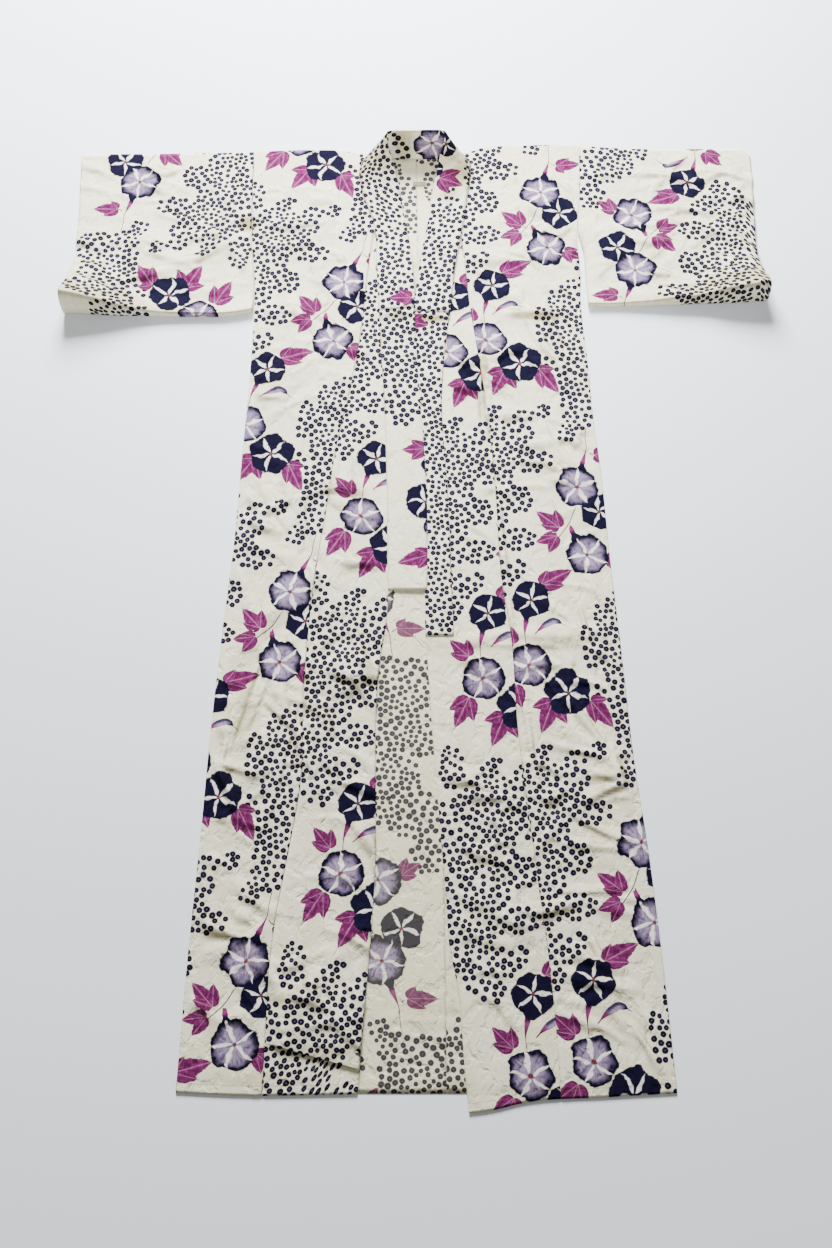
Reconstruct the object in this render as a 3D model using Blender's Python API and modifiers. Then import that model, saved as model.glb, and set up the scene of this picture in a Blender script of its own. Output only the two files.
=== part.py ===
"""An unlined cotton yukata, laid out flat with its front up and its hem towards -Y.

Every piece is a cloth wall built from rows of points along its middle. A row runs across the piece,
and the rows follow one another along it. "Out" is the distance from the robe's centre line towards
a side, so one set of functions serves the wearer's right (-X) and the wearer's left (+X).
"""

import math

import bmesh
import bpy
import numpy as np

CM = 0.01

# Cloth walls and how they lie on each other
CLOTH = 0.0010
GAP = 0.0003
AIR = 0.0005
STEP = CLOTH + AIR
BEND = STEP / 2
BACK_LEVEL = CLOTH / 2
FRONT_LEVEL = BACK_LEVEL + STEP
COVER_STEP = CLOTH + 2 * GAP

# Middle of the robe's box, measured from the point that the tables below are measured from
MIDDLE_X = 0.15 * CM
MIDDLE_Y = 0.45 * CM

# Lengths along the robe
BACK_HEM = -80.7 * CM
KENSAKI = 64.5 * CM
TIP = KENSAKI - 0.6 * CM
ARMHOLE_END = 50.0 * CM
NECK_EDGE = 80.3 * CM
NECK_HALF = 9.4 * CM
ALLOWANCE = 0.8 * CM
ARMHOLE_GAP = 0.08 * CM
SLEEVE_UNDER = 15.0 * CM
TUCK_HALF = 0.6 * CM
TUCK_LAP = 3.0 * CM
TUCK_LEAST = 0.06 * CM
TUCK_BEND = 0.10 * CM
TUCK_TURNED = 0.36
TUCK_START = 0.002
CURL_RUN = 3.0 * CM
CURL_END = 0.02 * CM

# How far the right strip's free edge is raised where it lies on the left one
LAP_LIFT = STEP + 0.02 * CM
COVER_LAP_LIFT = 3.3 * STEP


def table(columns, *rows):
    """Rows of centimetres as named columns in metres, in rising order of the first column."""
    values = np.array(sorted(rows), dtype=float) * CM
    return dict(zip(columns.split(), values.T))


def read(source, column, at):
    """A smooth reading of a table's column, at a value of the table's first column."""
    keys = next(iter(source.values()))
    values = source[column]
    at = min(max(at, keys[0]), keys[-1])
    i = min(max(int(np.searchsorted(keys, at)), 1), len(keys) - 1)
    slopes = np.gradient(values, keys)
    span = keys[i] - keys[i - 1]
    t = (at - keys[i - 1]) / span
    rise = t * t * (3 - 2 * t)
    return (values[i - 1] * (1 - rise) + values[i] * rise
            + span * t * (1 - t) * ((1 - t) * slopes[i - 1] - t * slopes[i]))


def smooth(low, high, value):
    """0 below low, 1 above high, and an even curve between them."""
    t = min(max((value - low) / (high - low), 0.0), 1.0)
    return t * t * (3 - 2 * t)


def mix(a, b, t):
    """The point, or number, a share t of the way from a to b."""
    return a + (b - a) * t


# The robe's outline and seams, in centimetres: y is along the robe, the rest are out from its centre
SIDE = "y fold wrap"
SEAM = "y out"

RIGHT = {
    "name": "right",
    "sign": -1,
    "side": table(SIDE, (84, 30.0, 0), (70, 29.8, 0), (63, 29.6, 0), (56, 28.9, 0), (50, 28.6, 0),
                  (40, 28.7, 0.8), (19, 29.5, 2.5), (4, 30.1, 4.0), (-12, 31.3, 5.2), (-27, 32.2, 6.2),
                  (-44, 32.9, 7.5), (-62, 33.8, 8.4), (-81, 34.4, 9.2)),
    "okumi_seam": table(SEAM, (66, 7.6), (54, 8.9), (46, 9.5), (34, 11.2), (24, 13.2), (10, 15.0),
                        (-6, 17.0), (-20, 17.8), (-36, 17.9), (-45, 19.2), (-57, 21.1), (-81, 22.1)),
    "collar_seam": table(SEAM, (83, 9.6), (76, 10.4), (73, 9.8), (69, 8.1), (65, 7.4), (57, 7.0),
                         (48, 6.5), (21, 5.1), (-4, 4.6)),
    "collar_free": table(SEAM, (73, 3.1), (66, 2.0), (60, 1.0), (51, 0.4), (44, 0.1), (28, -0.9),
                         (21, -1.4), (8, -1.9), (-4, -1.8)),
    "front_edge": table(SEAM, (-3, 4.6), (-8, 4.7), (-18, 6.0), (-25, 6.3), (-48, 6.2), (-57, 6.6),
                        (-70, 7.6), (-81, 8.4)),
    "shoulder": table("out y", (8, 82.0), (10, 82.2), (13, 82.8), (21, 83.1), (30, 82.7), (46, 82.3),
                      (63, 82.2)),
    "hem": table("out y", (4, -80.7), (16, -80.9), (23, -81.0), (36, -80.5)),
    "sleeve": table("out bottom height", (28, 48.6, 1.2), (33, 47.5, 1.2), (40, 47.3, 1.3), (46, 47.3, 1.6),
                    (50, 47.3, 2.4), (54, 47.4, 3.6), (58, 47.7, 4.7), (62, 47.9, 5.5)),
    "sleeve_free": table(SEAM, (56, 28.8), (50, 28.7), (47, 28.8)),
    "sleeve_end": table(SEAM, (84, 62.1), (76, 61.8), (65, 61.3), (57, 61.3), (47, 62.3)),
    "collar_end": -4.0 * CM,
    "cover_end": 48.4 * CM,
    "corner": 0.2 * CM,
}

LEFT = {
    "name": "left",
    "sign": 1,
    "side": table(SIDE, (84, 30.3, 0), (72, 29.8, 0), (64, 29.1, 0), (57, 29.4, 0), (50, 29.2, 0),
                  (40, 29.8, 0.6), (27, 30.4, 1.4), (17, 31.2, 1.8), (2, 31.9, 2.2), (-17, 33.1, 2.9),
                  (-30, 33.8, 3.2), (-47, 35.4, 4.0), (-63, 36.5, 4.5), (-81, 37.4, 4.9)),
    "okumi_seam": table(SEAM, (65, 8.1), (56, 9.0), (50, 9.5), (36, 11.3), (29, 12.2), (16, 13.2),
                        (-3, 14.1), (-11, 15.2), (-27, 16.0), (-48, 18.1), (-67, 20.1), (-82, 20.8)),
    "collar_seam": table(SEAM, (83, 9.9), (76, 9.5), (69, 8.9), (65, 8.2), (57, 6.9), (48, 6.0), (42, 5.2),
                         (32, 4.5), (12, 5.4), (-12, 6.1)),
    "collar_free": table(SEAM, (73, 3.3), (66, 2.2), (61, 1.3), (55, 0.4), (48, -0.3), (40, -0.1),
                         (28, 0.4), (21, 0.9), (8, 1.4), (-4, 1.4), (-12, 1.5)),
    "front_edge": table(SEAM, (-3, 1.7), (-12, 1.7), (-22, 2.2), (-35, 3.1), (-53, 4.5), (-61, 5.1),
                        (-65, 6.0), (-76, 7.1), (-83.3, 7.8)),
    "shoulder": table("out y", (8, 82.4), (10, 82.7), (12, 83.5), (18, 84.0), (29, 84.2), (35, 83.7),
                      (63, 83.4)),
    "hem": table("out y", (1, -83.3), (8, -83.3), (11, -82.9), (15, -82.0), (27, -81.2), (38, -80.6)),
    "sleeve": table("out bottom height", (29, 49.4, 1.1), (34, 49.4, 1.1), (41, 49.5, 1.6), (45, 49.6, 2.1),
                    (50, 49.8, 2.6), (54, 49.9, 3.8), (58, 50.1, 4.5), (62, 50.4, 4.8)),
    "sleeve_free": table(SEAM, (66, 29.1), (63.5, 29.5), (61, 30.0), (55, 30.2), (48, 30.5)),
    "sleeve_end": table(SEAM, (84, 62.0), (80, 62.0), (70, 61.7), (57, 61.3), (49, 62.4)),
    "collar_end": -11.8 * CM,
    "cover_end": 47.9 * CM,
    "corner": 2.0 * CM,
}

CENTRE_BACK = table(SEAM, (82, 0.0), (50, 0.7), (10, 2.4), (-44, 4.2), (-81, 4.4))

# The largest folds of the fronts, each a soft ridge from one place to another, in centimetres
FOLD_COLUMNS = "out_1 y_1 out_2 y_2 half height"
FOLDS = {
    "right": [
        (11.6, 21, 13.3, 10, 2.2, 0.5),
        (13.3, 10, 17.4, -36, 2.4, 0.45),
        (5.5, -16.8, 17.0, -16.5, 3.2, 0.7),
        (19.0, 38, 30.0, 28, 2.4, 0.35),
        (15.0, 0, 28.0, -14, 2.6, 0.4),
        (20.0, -18, 29.0, -40, 2.6, 0.35),
        (16.0, 66, 27.0, 60, 2.4, 0.35),
        (9.0, -58, 19.0, -70, 2.6, 0.35),
    ],
    "left": [
        (15.5, 47.5, 25.5, 48.5, 1.8, 0.45),
        (17.0, -11.5, 29.5, -11.0, 1.8, 0.4),
        (10.5, 46, 12.0, 30, 1.8, 0.4),
        (20.0, 24, 29.0, 12, 2.4, 0.35),
        (21.0, -25, 32.0, -36, 2.6, 0.35),
        (7.0, -50, 16.0, -58, 2.6, 0.35),
        (17.0, 68, 27.0, 74, 2.4, 0.35),
    ],
}

# The collar round the neck, from the right front over the back to the left front, in centimetres
NECK_COLUMNS = "seam_x seam_y seam_z free_x free_y free_z bow"
NECK = [
    (-9.0, 71.0, 0.50, -2.8, 71.2, 0.80, 0.10),
    (-10.1, 74.5, 0.55, -3.3, 74.4, 1.30, 0.30),
    (-10.4, 77.4, 0.60, -4.1, 77.3, 2.30, 0.50),
    (-10.0, 79.6, 0.65, -4.9, 79.7, 3.60, 0.55),
    (-9.2, 80.8, 0.60, -5.4, 81.3, 4.50, 0.45),
    (-7.9, 81.3, 0.50, -5.5, 82.4, 4.95, 0.30),
    (-6.0, 81.4, 0.40, -4.9, 83.0, 5.20, 0.15),
    (-3.4, 81.3, 0.35, -3.2, 83.1, 5.25, 0.00),
    (0.0, 81.2, 0.35, 0.0, 83.1, 5.30, 0.00),
    (3.4, 81.3, 0.35, 3.2, 83.1, 5.35, 0.00),
    (6.0, 81.4, 0.40, 5.0, 83.0, 5.30, 0.15),
    (7.9, 81.3, 0.50, 5.5, 82.4, 5.05, 0.30),
    (9.1, 80.8, 0.60, 5.3, 81.3, 4.60, 0.45),
    (9.9, 79.6, 0.65, 4.7, 79.7, 3.60, 0.55),
    (9.9, 77.4, 0.60, 4.1, 77.3, 2.30, 0.50),
    (9.6, 74.5, 0.55, 3.4, 74.4, 1.40, 0.30),
    (9.1, 71.0, 0.50, 2.8, 71.2, 0.80, 0.10),
]

# The neck tag
TAG_LENGTH = 2.4 * CM
TAG_WIDTH = 0.8 * CM
TAG_CENTRE = (0.6 * CM, 75.6 * CM)

# How many points the pieces take
ACROSS_FRONT = 8
FLAT_SHARE = 0.992
ACROSS_OKUMI = (0.0, 0.11, 0.22, 0.28, 0.36, 0.5, 0.75, 1.0)
ACROSS_COLLAR = 4
ALONG_SLEEVE = (0, 0.12, 0.27, 0.42, 0.54, 0.66, 0.78, 0.89, 1.0)
BEND_STEPS = 3
FRONT_PITCH = 5.5 * CM
COLLAR_PITCH = 5.0 * CM
NECK_STEPS = 2
NECK_FAN = 4

# Colours of the cloth and how it takes the light
COTTON = {"colour": (0.86, 0.84, 0.78, 1.0), "roughness": 0.85}
SHADED = {"colour": (0.80, 0.77, 0.70, 1.0), "roughness": 0.85}
TAPE = {"colour": (0.62, 0.56, 0.42, 1.0), "roughness": 0.70}


def put(side, out, y, z):
    """A point of a side, in the robe's own frame."""
    return (side["sign"] * out - MIDDLE_X, y - MIDDLE_Y, z)


def spread(start, end, pitch):
    """Even places from start to end, no further apart than the pitch."""
    count = max(int(math.ceil(abs(end - start) / pitch)), 1)
    return list(np.linspace(start, end, count + 1))


def fold_height(side, out, y):
    """How far the folds lift the front at a place."""
    height = 0.0
    for row in FOLDS[side["name"]]:
        fold = dict(zip(FOLD_COLUMNS.split(), np.array(row) * CM))
        ax, ay = fold["out_1"], fold["y_1"]
        dx, dy = fold["out_2"] - ax, fold["y_2"] - ay
        reach = math.hypot(dx, dy)
        along = ((out - ax) * dx + (y - ay) * dy) / reach
        off = abs((out - ax) * dy - (y - ay) * dx) / reach
        end = min(max(along, 0.0), reach)
        off = math.hypot(off, along - end)
        share = max(1 - (off / (fold["half"] * 1.4)) ** 2, 0.0)
        height = max(height, fold["height"] * share * share)
    return height


def front_height(side, out, y):
    """The middle of a front panel above the floor: flat by its folds, lifted between them."""
    edge = read(side["side"], "fold", y) - out
    top = read(side["shoulder"], "y", out) - y
    hem = y - read(side["hem"], "y", out)
    strip = out - read(side["collar_seam"], "out", y)
    ease = smooth(0.0, 3 * CM, edge) * smooth(0.0, 4 * CM, top) * smooth(0.0, 5 * CM, hem)
    ease *= max(smooth(0.0, 3 * CM, strip), smooth(-2 * CM, -6 * CM, y - side["collar_end"]))
    return FRONT_LEVEL + fold_height(side, out, y) * ease


def side_seam(side, y):
    """Where the front's edge meets the back's on the underside, in straight runs between the back's rows."""
    places = back_places(side)[::-1]
    return float(np.interp(y, places, [seam_at(side, place) for place in places]))


def seam_at(side, y):
    """The side seam's place at one of the back's rows."""
    least = 0.3 * CM * smooth(ARMHOLE_END + 8 * CM, ARMHOLE_END + 2 * CM, y)
    return read(side["side"], "fold", y) - max(read(side["side"], "wrap", y), least)


def inner_edge(side, y):
    """The front panel's inner edge: under the collar above the okumi's tip, at its seam below."""
    collar = read(side["collar_seam"], "out", y) - ALLOWANCE
    seam = read(side["okumi_seam"], "out", y) + GAP / 2
    return mix(seam, collar, smooth(KENSAKI, KENSAKI + 2 * CM, y))


def leaned(side, out, y):
    """A place along the robe, moved so that the rows follow the shoulder fold and the hem."""
    fold_lean = read(side["shoulder"], "y", out) - read(side["shoulder"], "y", NECK_HALF)
    hem_lean = read(side["hem"], "y", out) - BACK_HEM
    return y + fold_lean * smooth(60 * CM, 82 * CM, y) + hem_lean * smooth(-60 * CM, BACK_HEM, y)


def shares():
    """How far across a body panel its columns lie, the last ones close together for the side fold."""
    last = BEND_STEPS + 1
    return ([FLAT_SHARE * k / ACROSS_FRONT for k in range(ACROSS_FRONT + 1)]
            + [mix(FLAT_SHARE, 1.0, k / last) for k in range(1, last + 1)])


def back_rows(side):
    """The back's rows, from the hem up to the shoulder, narrowing round the neck."""
    sign = side["sign"]
    rows = []
    for y in back_places(side)[::-1]:
        inner = sign * read(CENTRE_BACK, "out", y) + GAP / 2
        outer = side_seam(side, y) - GAP
        rows.append([put(side, mix(inner, outer, share), y, BACK_LEVEL) for share in shares()])
    start = back_places(side)[0]
    top = read(side["shoulder"], "y", NECK_HALF) - BEND
    neck = inner_edge(side, top)
    for step in range(NECK_FAN + 1):
        done = step / NECK_FAN
        inner = mix(sign * read(CENTRE_BACK, "out", NECK_EDGE) + GAP / 2, neck, done)
        inner_y = mix(NECK_EDGE, top, smooth(0.7, 1.0, done))
        outer_y = mix(start, top, (step + 1) / (NECK_FAN + 1))
        outer = mix(side_seam(side, outer_y) - GAP, read(side["side"], "fold", outer_y), done)
        row = []
        for share in shares():
            out = mix(inner, outer, share)
            lean = (read(side["shoulder"], "y", out) - read(side["shoulder"], "y", NECK_HALF)) * done
            row.append(put(side, out, mix(inner_y, outer_y, share) + lean, BACK_LEVEL))
        rows.append(row)
    return rows


def shoulder_rows(side):
    """The rows of the shoulder fold, between the back and the front."""
    y = read(side["shoulder"], "y", NECK_HALF) - BEND
    outer = read(side["side"], "fold", y)
    inner = inner_edge(side, y)
    rows = []
    for step in range(1, BEND_STEPS):
        angle = math.pi * step / BEND_STEPS
        row = []
        for share in shares():
            out = mix(inner, outer, share)
            fold = read(side["shoulder"], "y", out)
            row.append(put(side, out, fold - BEND + BEND * math.sin(angle),
                           BACK_LEVEL + BEND * (1 - math.cos(angle))))
        rows.append(row)
    return rows


def front_row(side, y):
    """One row of the front: across the top, round the side fold and along the underside to its seam."""
    inner = inner_edge(side, y)
    fold = read(side["side"], "fold", y)
    curl = math.pi * smooth(ARMHOLE_END, ARMHOLE_END - CURL_RUN, y)
    strip = math.pi * BEND
    flat = strip - curl * BEND
    start = fold - flat - BEND * math.sin(min(curl, math.pi / 2))
    row = []
    for k in range(ACROSS_FRONT + 1):
        out = mix(inner, start, k / ACROSS_FRONT)
        place = leaned(side, out, y)
        row.append(put(side, out, place, front_height(side, out, place)))
    place = leaned(side, fold, y)
    for k in range(1, BEND_STEPS + 1):
        run = strip * k / BEND_STEPS
        angle = max(run - flat, 0.0) / BEND
        out = start + min(run, flat) + BEND * math.sin(angle)
        row.append(put(side, out, place, FRONT_LEVEL - BEND * (1 - math.cos(angle))))
    if y >= ARMHOLE_END - CURL_RUN:
        row.append(put(side, out + CURL_END * math.cos(curl), place, row[-1][2] - CURL_END * math.sin(curl)))
    else:
        row.append(put(side, side_seam(side, y), place, BACK_LEVEL))
    return row


def front_places(side):
    """Where the rows of the front and its okumi lie, from the shoulder fold down to the hem."""
    top = read(side["shoulder"], "y", NECK_HALF) - BEND
    above = spread(top, TIP, FRONT_PITCH) + spread(TIP, ARMHOLE_END, FRONT_PITCH)[1:]
    above += [ARMHOLE_END - CURL_RUN * share for share in (0.25, 0.5, 0.75)]
    if side is LEFT:
        return above + spread(ARMHOLE_END - CURL_RUN, BACK_HEM, FRONT_PITCH)
    tuck = [tuck_line(0) + TUCK_HALF, tuck_line(0) - TUCK_HALF]
    return above + spread(ARMHOLE_END - CURL_RUN, tuck[0], FRONT_PITCH) + spread(tuck[1], BACK_HEM, 4 * CM)


def back_places(side):
    """Where the rows of the back lie, at every other row of the front, from below the neck to the hem."""
    places = [y for y in front_places(side) if y < 72 * CM]
    return places[:-1:2] + places[-1:]


def front_rows(side):
    """The front's rows, from the shoulder fold down to the hem."""
    return [front_row(side, y) for y in front_places(side)]


def body_panel(side):
    """One length of cloth: up the back, over the shoulder and down the front."""
    rows = back_rows(side) + shoulder_rows(side) + front_rows(side)
    return cloth("body_panel_" + side["name"], rows, COTTON)


def okumi_inner(side, y):
    """The okumi's inner edge: under the collar's seam, then its own front edge."""
    hidden = read(side["collar_seam"], "out", y) - ALLOWANCE
    if side is RIGHT:
        start, end = RIGHT["collar_end"] - 1 * CM, RIGHT["collar_end"]
    else:
        start, end = LEFT["collar_end"] + 6 * CM, 30 * CM
    return mix(read(side["front_edge"], "out", y), hidden, smooth(start, end, y))


def tuck_line(share):
    """The lower edge of the right okumi's tuck, from the seam to the front edge."""
    return mix(-73.6 * CM, -77.4 * CM, share)


def tuck_profile(share):
    """The tuck as pairs of distance below its edge and height: two bends that turn and lap more
    and more towards the front edge."""
    turn = math.pi * max(smooth(0.0, TUCK_TURNED, share), TUCK_START)
    radius = math.pi * TUCK_BEND / turn
    lap = mix(TUCK_LEAST, TUCK_LAP, smooth(TUCK_TURNED, 1.0, share))
    height = 2 * radius * (1 - math.cos(turn)) + lap * math.sin(turn)
    start = -radius * math.sin(min(turn, math.pi / 2))
    angles = [turn * k / BEND_STEPS for k in range(BEND_STEPS + 1)]
    upper = [(start + radius * math.sin(a), height - radius * (1 - math.cos(a))) for a in angles]
    far = 2 * upper[-1][0] + lap * math.cos(turn)
    return upper + [(far - below, height - rise) for below, rise in reversed(upper)]


def okumi_rows(side):
    """The okumi's rows from its tip down to the hem, the right one with a tuck."""
    places = [y for y in front_places(side) if y <= TIP]
    if side is LEFT:
        return [okumi_row(side, y) for y in places]
    rows = [okumi_row(side, y) for y in places if y > tuck_line(0) + TUCK_HALF]
    for step in range(len(tuck_profile(0))):
        row = []
        for share in ACROSS_OKUMI:
            below, rise = tuck_profile(share)[step]
            row.append((share, tuck_line(share) - below, rise))
        rows.append([okumi_point(side, *entry) for entry in row])
    for part in (0.45, 1.0):
        row = []
        for share in ACROSS_OKUMI:
            below = tuck_profile(share)[-1][0]
            row.append((share, mix(tuck_line(share) - below, BACK_HEM, part), 0.0))
        rows.append([okumi_point(side, *entry) for entry in row])
    return rows


def okumi_point(side, share, y, rise=0.0):
    """A point of the okumi, a share of the way from its seam to its inner edge."""
    outer = read(side["okumi_seam"], "out", y) - GAP / 2
    out = mix(outer, okumi_inner(side, y), share)
    place = leaned(side, out, y)
    return put(side, out, place, front_height(side, out, place) + rise)


def okumi_row(side, y):
    """A row of the okumi, moved to follow the tuck where the tuck is near."""
    row = []
    for share in ACROSS_OKUMI:
        place, rise = y, 0.0
        if side is RIGHT:
            near = smooth(-50 * CM, tuck_line(0) + TUCK_HALF, y)
            place += (tuck_line(share) - tuck_line(0)) * near
            rise = tuck_profile(share)[0][1] * smooth(-60 * CM, tuck_line(0) + 4 * CM, y)
        row.append(okumi_point(side, share, place, rise))
    return row


def okumi(side):
    """The narrow gore between the front panel and the collar."""
    return cloth("okumi_" + side["name"], okumi_rows(side), COTTON)


def sleeve_path(side, out):
    """The sleeve's outer face in (y, height), from the top fold over the roll to the turned-under edge."""
    top = read(side["shoulder"], "y", out)
    top -= side["corner"] * smooth(60.0 * CM, 62.5 * CM, out)
    bottom = read(side["sleeve"], "bottom", out)
    height = read(side["sleeve"], "height", out)
    crest = bottom + 0.33 * height
    reach = mix(4 * CM, 12 * CM, smooth(1 * CM, 5.5 * CM, height))
    under = bottom + SLEEVE_UNDER
    foot = min(0.8 * CM, height / 3)

    def level(y):
        layers = FRONT_LEVEL + 2 * STEP * (1 - smooth(under + 0.8 * CM, under + 4 * CM, y))
        share = max(1 - (y - crest) / reach, 0.0)
        return layers + (height - FRONT_LEVEL - 2 * STEP) * share ** 1.7

    path = [(y, level(y)) for y in np.linspace(top - BEND, under + 4 * CM, 4)]
    path += [(y, level(y)) for y in np.linspace(under + 4 * CM, crest + 0.5 * CM, 10)[1:]]
    for k in range(5):
        angle = math.pi / 2 * k / 4
        path.append((mix(crest, bottom, math.sin(angle)), mix(foot, height, math.cos(angle))))
    for k in range(1, 4):
        angle = math.pi / 2 * k / 3
        path.append((bottom + foot * (1 - math.cos(angle)), mix(foot, BACK_LEVEL, math.sin(angle))))
    path += [(mix(bottom + foot, under, t), BACK_LEVEL) for t in (0.5, 1.0)]
    return path


def moved_in(path, distance):
    """A path moved to its right by a distance, as the inner layer lies in the outer one."""
    points = np.array(path)
    runs = np.diff(points, axis=0)
    runs /= np.linalg.norm(runs, axis=1)[:, None]
    turns = np.vstack([runs[:1], runs[:-1] + runs[1:], runs[-1:]])
    turns /= np.linalg.norm(turns, axis=1)[:, None]
    ahead = np.vstack([runs, runs[-1:]])
    reach = distance / np.maximum(np.abs(np.sum(turns * ahead, axis=1)), 0.5)
    away = np.column_stack([-turns[:, 1], turns[:, 0]])
    return [tuple(p) for p in points + away * reach[:, None]]


def sleeve_ring(side, out):
    """A closed ring round the sleeve: outer face, sewn bottom edge, inner face and top fold."""
    outer = sleeve_path(side, out)
    inner = moved_in(outer, STEP)[::-1]
    bottom = []
    for k in range(1, BEND_STEPS):
        angle = math.pi * k / BEND_STEPS
        y, z = outer[-1]
        bottom.append((y + BEND * math.sin(angle), z + BEND * (1 - math.cos(angle))))
    top = []
    for k in range(1, BEND_STEPS):
        angle = math.pi * k / BEND_STEPS
        y, z = inner[-1]
        top.append((y + BEND * math.sin(angle), z + BEND * (1 - math.cos(angle))))
    return outer + bottom + inner + top


def sleeve_start(side, y):
    """The sleeve's inner edge: along the body's fold where it is sewn on, and its own line below."""
    return max(read(side["side"], "fold", y), read(side["sleeve_free"], "out", y)) + ARMHOLE_GAP


def sleeve(side):
    """The sleeve: a flat tube, its lower third turned under and rolled up at the wrist."""
    rows = []
    for share in ALONG_SLEEVE:
        out = mix(29.5 * CM, 62 * CM, share)
        row = []
        for y, z in sleeve_ring(side, out):
            end = read(side["sleeve_end"], "out", y)
            row.append(put(side, mix(sleeve_start(side, y), end, share), y, z))
        rows.append(row + row[:1])
    return cloth("sleeve_" + side["name"], rows, COTTON)


def collar_sections():
    """The collar's sections from end to end: seam point, free point and the bow between them."""
    sections = []
    for side in (RIGHT, LEFT):
        part = []
        for y in spread(side["collar_end"], 67 * CM, COLLAR_PITCH):
            cover = smooth(side["cover_end"] - 2.5 * CM, side["cover_end"] - 0.5 * CM, y)
            seam_out = read(side["collar_seam"], "out", y)
            free_out = read(side["collar_free"], "out", y)
            base = front_height(side, seam_out, y) + STEP + cover * COVER_STEP
            base += smooth(55 * CM, 67 * CM, y) * 0.1 * CM
            over = 0.0
            if side is RIGHT:
                over = mix(LAP_LIFT, COVER_LAP_LIFT, smooth(43.5 * CM, 46.5 * CM, y))
                over *= 1 - smooth(56 * CM, 63 * CM, y)
            seam = np.array(put(side, seam_out, y, base))
            free = np.array(put(side, free_out, y + 0.3 * CM * cover, base + over))
            part.append((seam, free, 0.0))
        sections.append(part)
    neck = []
    for row in NECK:
        place = dict(zip(NECK_COLUMNS.split(), np.array(row) * CM))
        seam = np.array([place["seam_x"] - MIDDLE_X, place["seam_y"] - MIDDLE_Y, place["seam_z"]])
        free = np.array([place["free_x"] - MIDDLE_X, place["free_y"] - MIDDLE_Y, place["free_z"]])
        neck.append((seam, free, place["bow"]))
    round_neck = eased(sections[0][-2:] + neck + sections[1][:-3:-1])
    return sections[0][:-1] + round_neck + sections[1][-2::-1]


def eased(sections):
    """More sections on a smooth curve through the given ones, without the first and the last of them."""
    finer = []
    for before, start, end, after in zip(sections, sections[1:], sections[2:], sections[3:]):
        for k in range(NECK_STEPS):
            t = k / NECK_STEPS
            weights = (-t ** 3 + 2 * t * t - t, 3 * t ** 3 - 5 * t * t + 2,
                       -3 * t ** 3 + 4 * t * t + t, t ** 3 - t * t)
            group = (before, start, end, after)
            finer.append(tuple(sum(w * part[j] for w, part in zip(weights, group)) / 2 for j in range(3)))
    finer.append(sections[-2])
    return finer


def collar_rows():
    """Points across each section of the collar, from its seam to its free edge."""
    rows = []
    for seam, free, bow in collar_sections():
        middle = (seam + free) / 2
        away = np.array([middle[0], middle[1] - 78 * CM, 0.0])
        away /= max(np.linalg.norm(away), 1e-9)
        lift = away * 0.5 + np.array([0.0, 0.0, 0.87])
        row = []
        for k in range(ACROSS_COLLAR + 1):
            share = k / ACROSS_COLLAR
            row.append(tuple(mix(seam, free, share) + lift * bow * math.sin(math.pi * share)))
        rows.append(row)
    return rows


def collar():
    """The collar band, from the right end round the neck to the left end."""
    return cloth("collar", collar_rows(), COTTON)


def cover_rows():
    """The collar cover: over the band's outer face, round its free edge and back along the inner face."""
    points = np.array(collar_rows())
    along = np.gradient(points, axis=0)
    across = np.gradient(points, axis=1)
    normal = np.cross(across, along)
    normal /= np.linalg.norm(normal, axis=2)[:, :, None]
    rows = []
    for i in range(len(points)):
        y = points[i][0][1] + MIDDLE_Y
        side = RIGHT if points[i][0][0] < 0 else LEFT
        if y < side["cover_end"]:
            continue
        row = [tuple(p + n * COVER_STEP) for p, n in zip(points[i], normal[i])]
        tip, n = points[i][-1], normal[i][-1]
        ahead = points[i][-1] - points[i][-2]
        ahead -= n * np.dot(ahead, n)
        ahead /= np.linalg.norm(ahead)
        for k in range(1, BEND_STEPS):
            angle = math.pi * k / BEND_STEPS
            row.append(tuple(tip + (n * math.cos(angle) + ahead * math.sin(angle)) * COVER_STEP))
        row += [tuple(p - n * COVER_STEP) for p, n in list(zip(points[i], normal[i]))[::-1]]
        rows.append(row)
    return rows


def collar_cover():
    """The strip that covers the collar round the neck."""
    return cloth("collar_cover", cover_rows(), SHADED)


def neck_tag():
    """A small blank tag that lies on the inside of the back, under the neck."""
    x, y = TAG_CENTRE
    bpy.ops.mesh.primitive_cube_add(size=1)
    tag = bpy.context.object
    tag.dimensions = (TAG_LENGTH, TAG_WIDTH, CLOTH)
    tag.location = (x - MIDDLE_X, y - MIDDLE_Y, FRONT_LEVEL)
    return dress(tag, "neck_tag", TAPE)


def cloth(name, rows, finish):
    """A wall of cloth round the surface through the rows."""
    mesh = bpy.data.meshes.new(name)
    form = bmesh.new()
    closed = all(row[0] == row[-1] for row in rows)
    verts = [[form.verts.new(p) for p in (row[:-1] if closed else row)] for row in rows]
    width = len(rows[0]) - 1
    for lower, upper in zip(verts, verts[1:]):
        for k in range(width):
            after = (k + 1) % len(lower)
            a, b, c, d = lower[k], lower[after], upper[after], upper[k]
            if (a.co - c.co).length <= (b.co - d.co).length:
                halves = ((a, b, c), (a, c, d))
            else:
                halves = ((a, b, d), (b, c, d))
            for half in halves:
                form.faces.new(half)
    form.to_mesh(mesh)
    form.free()
    sheet = bpy.data.objects.new(name, mesh)
    bpy.context.scene.collection.objects.link(sheet)
    wall = sheet.modifiers.new("wall", "SOLIDIFY")
    wall.thickness = CLOTH
    wall.offset = 0.0
    return dress(sheet, name, finish)


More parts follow.
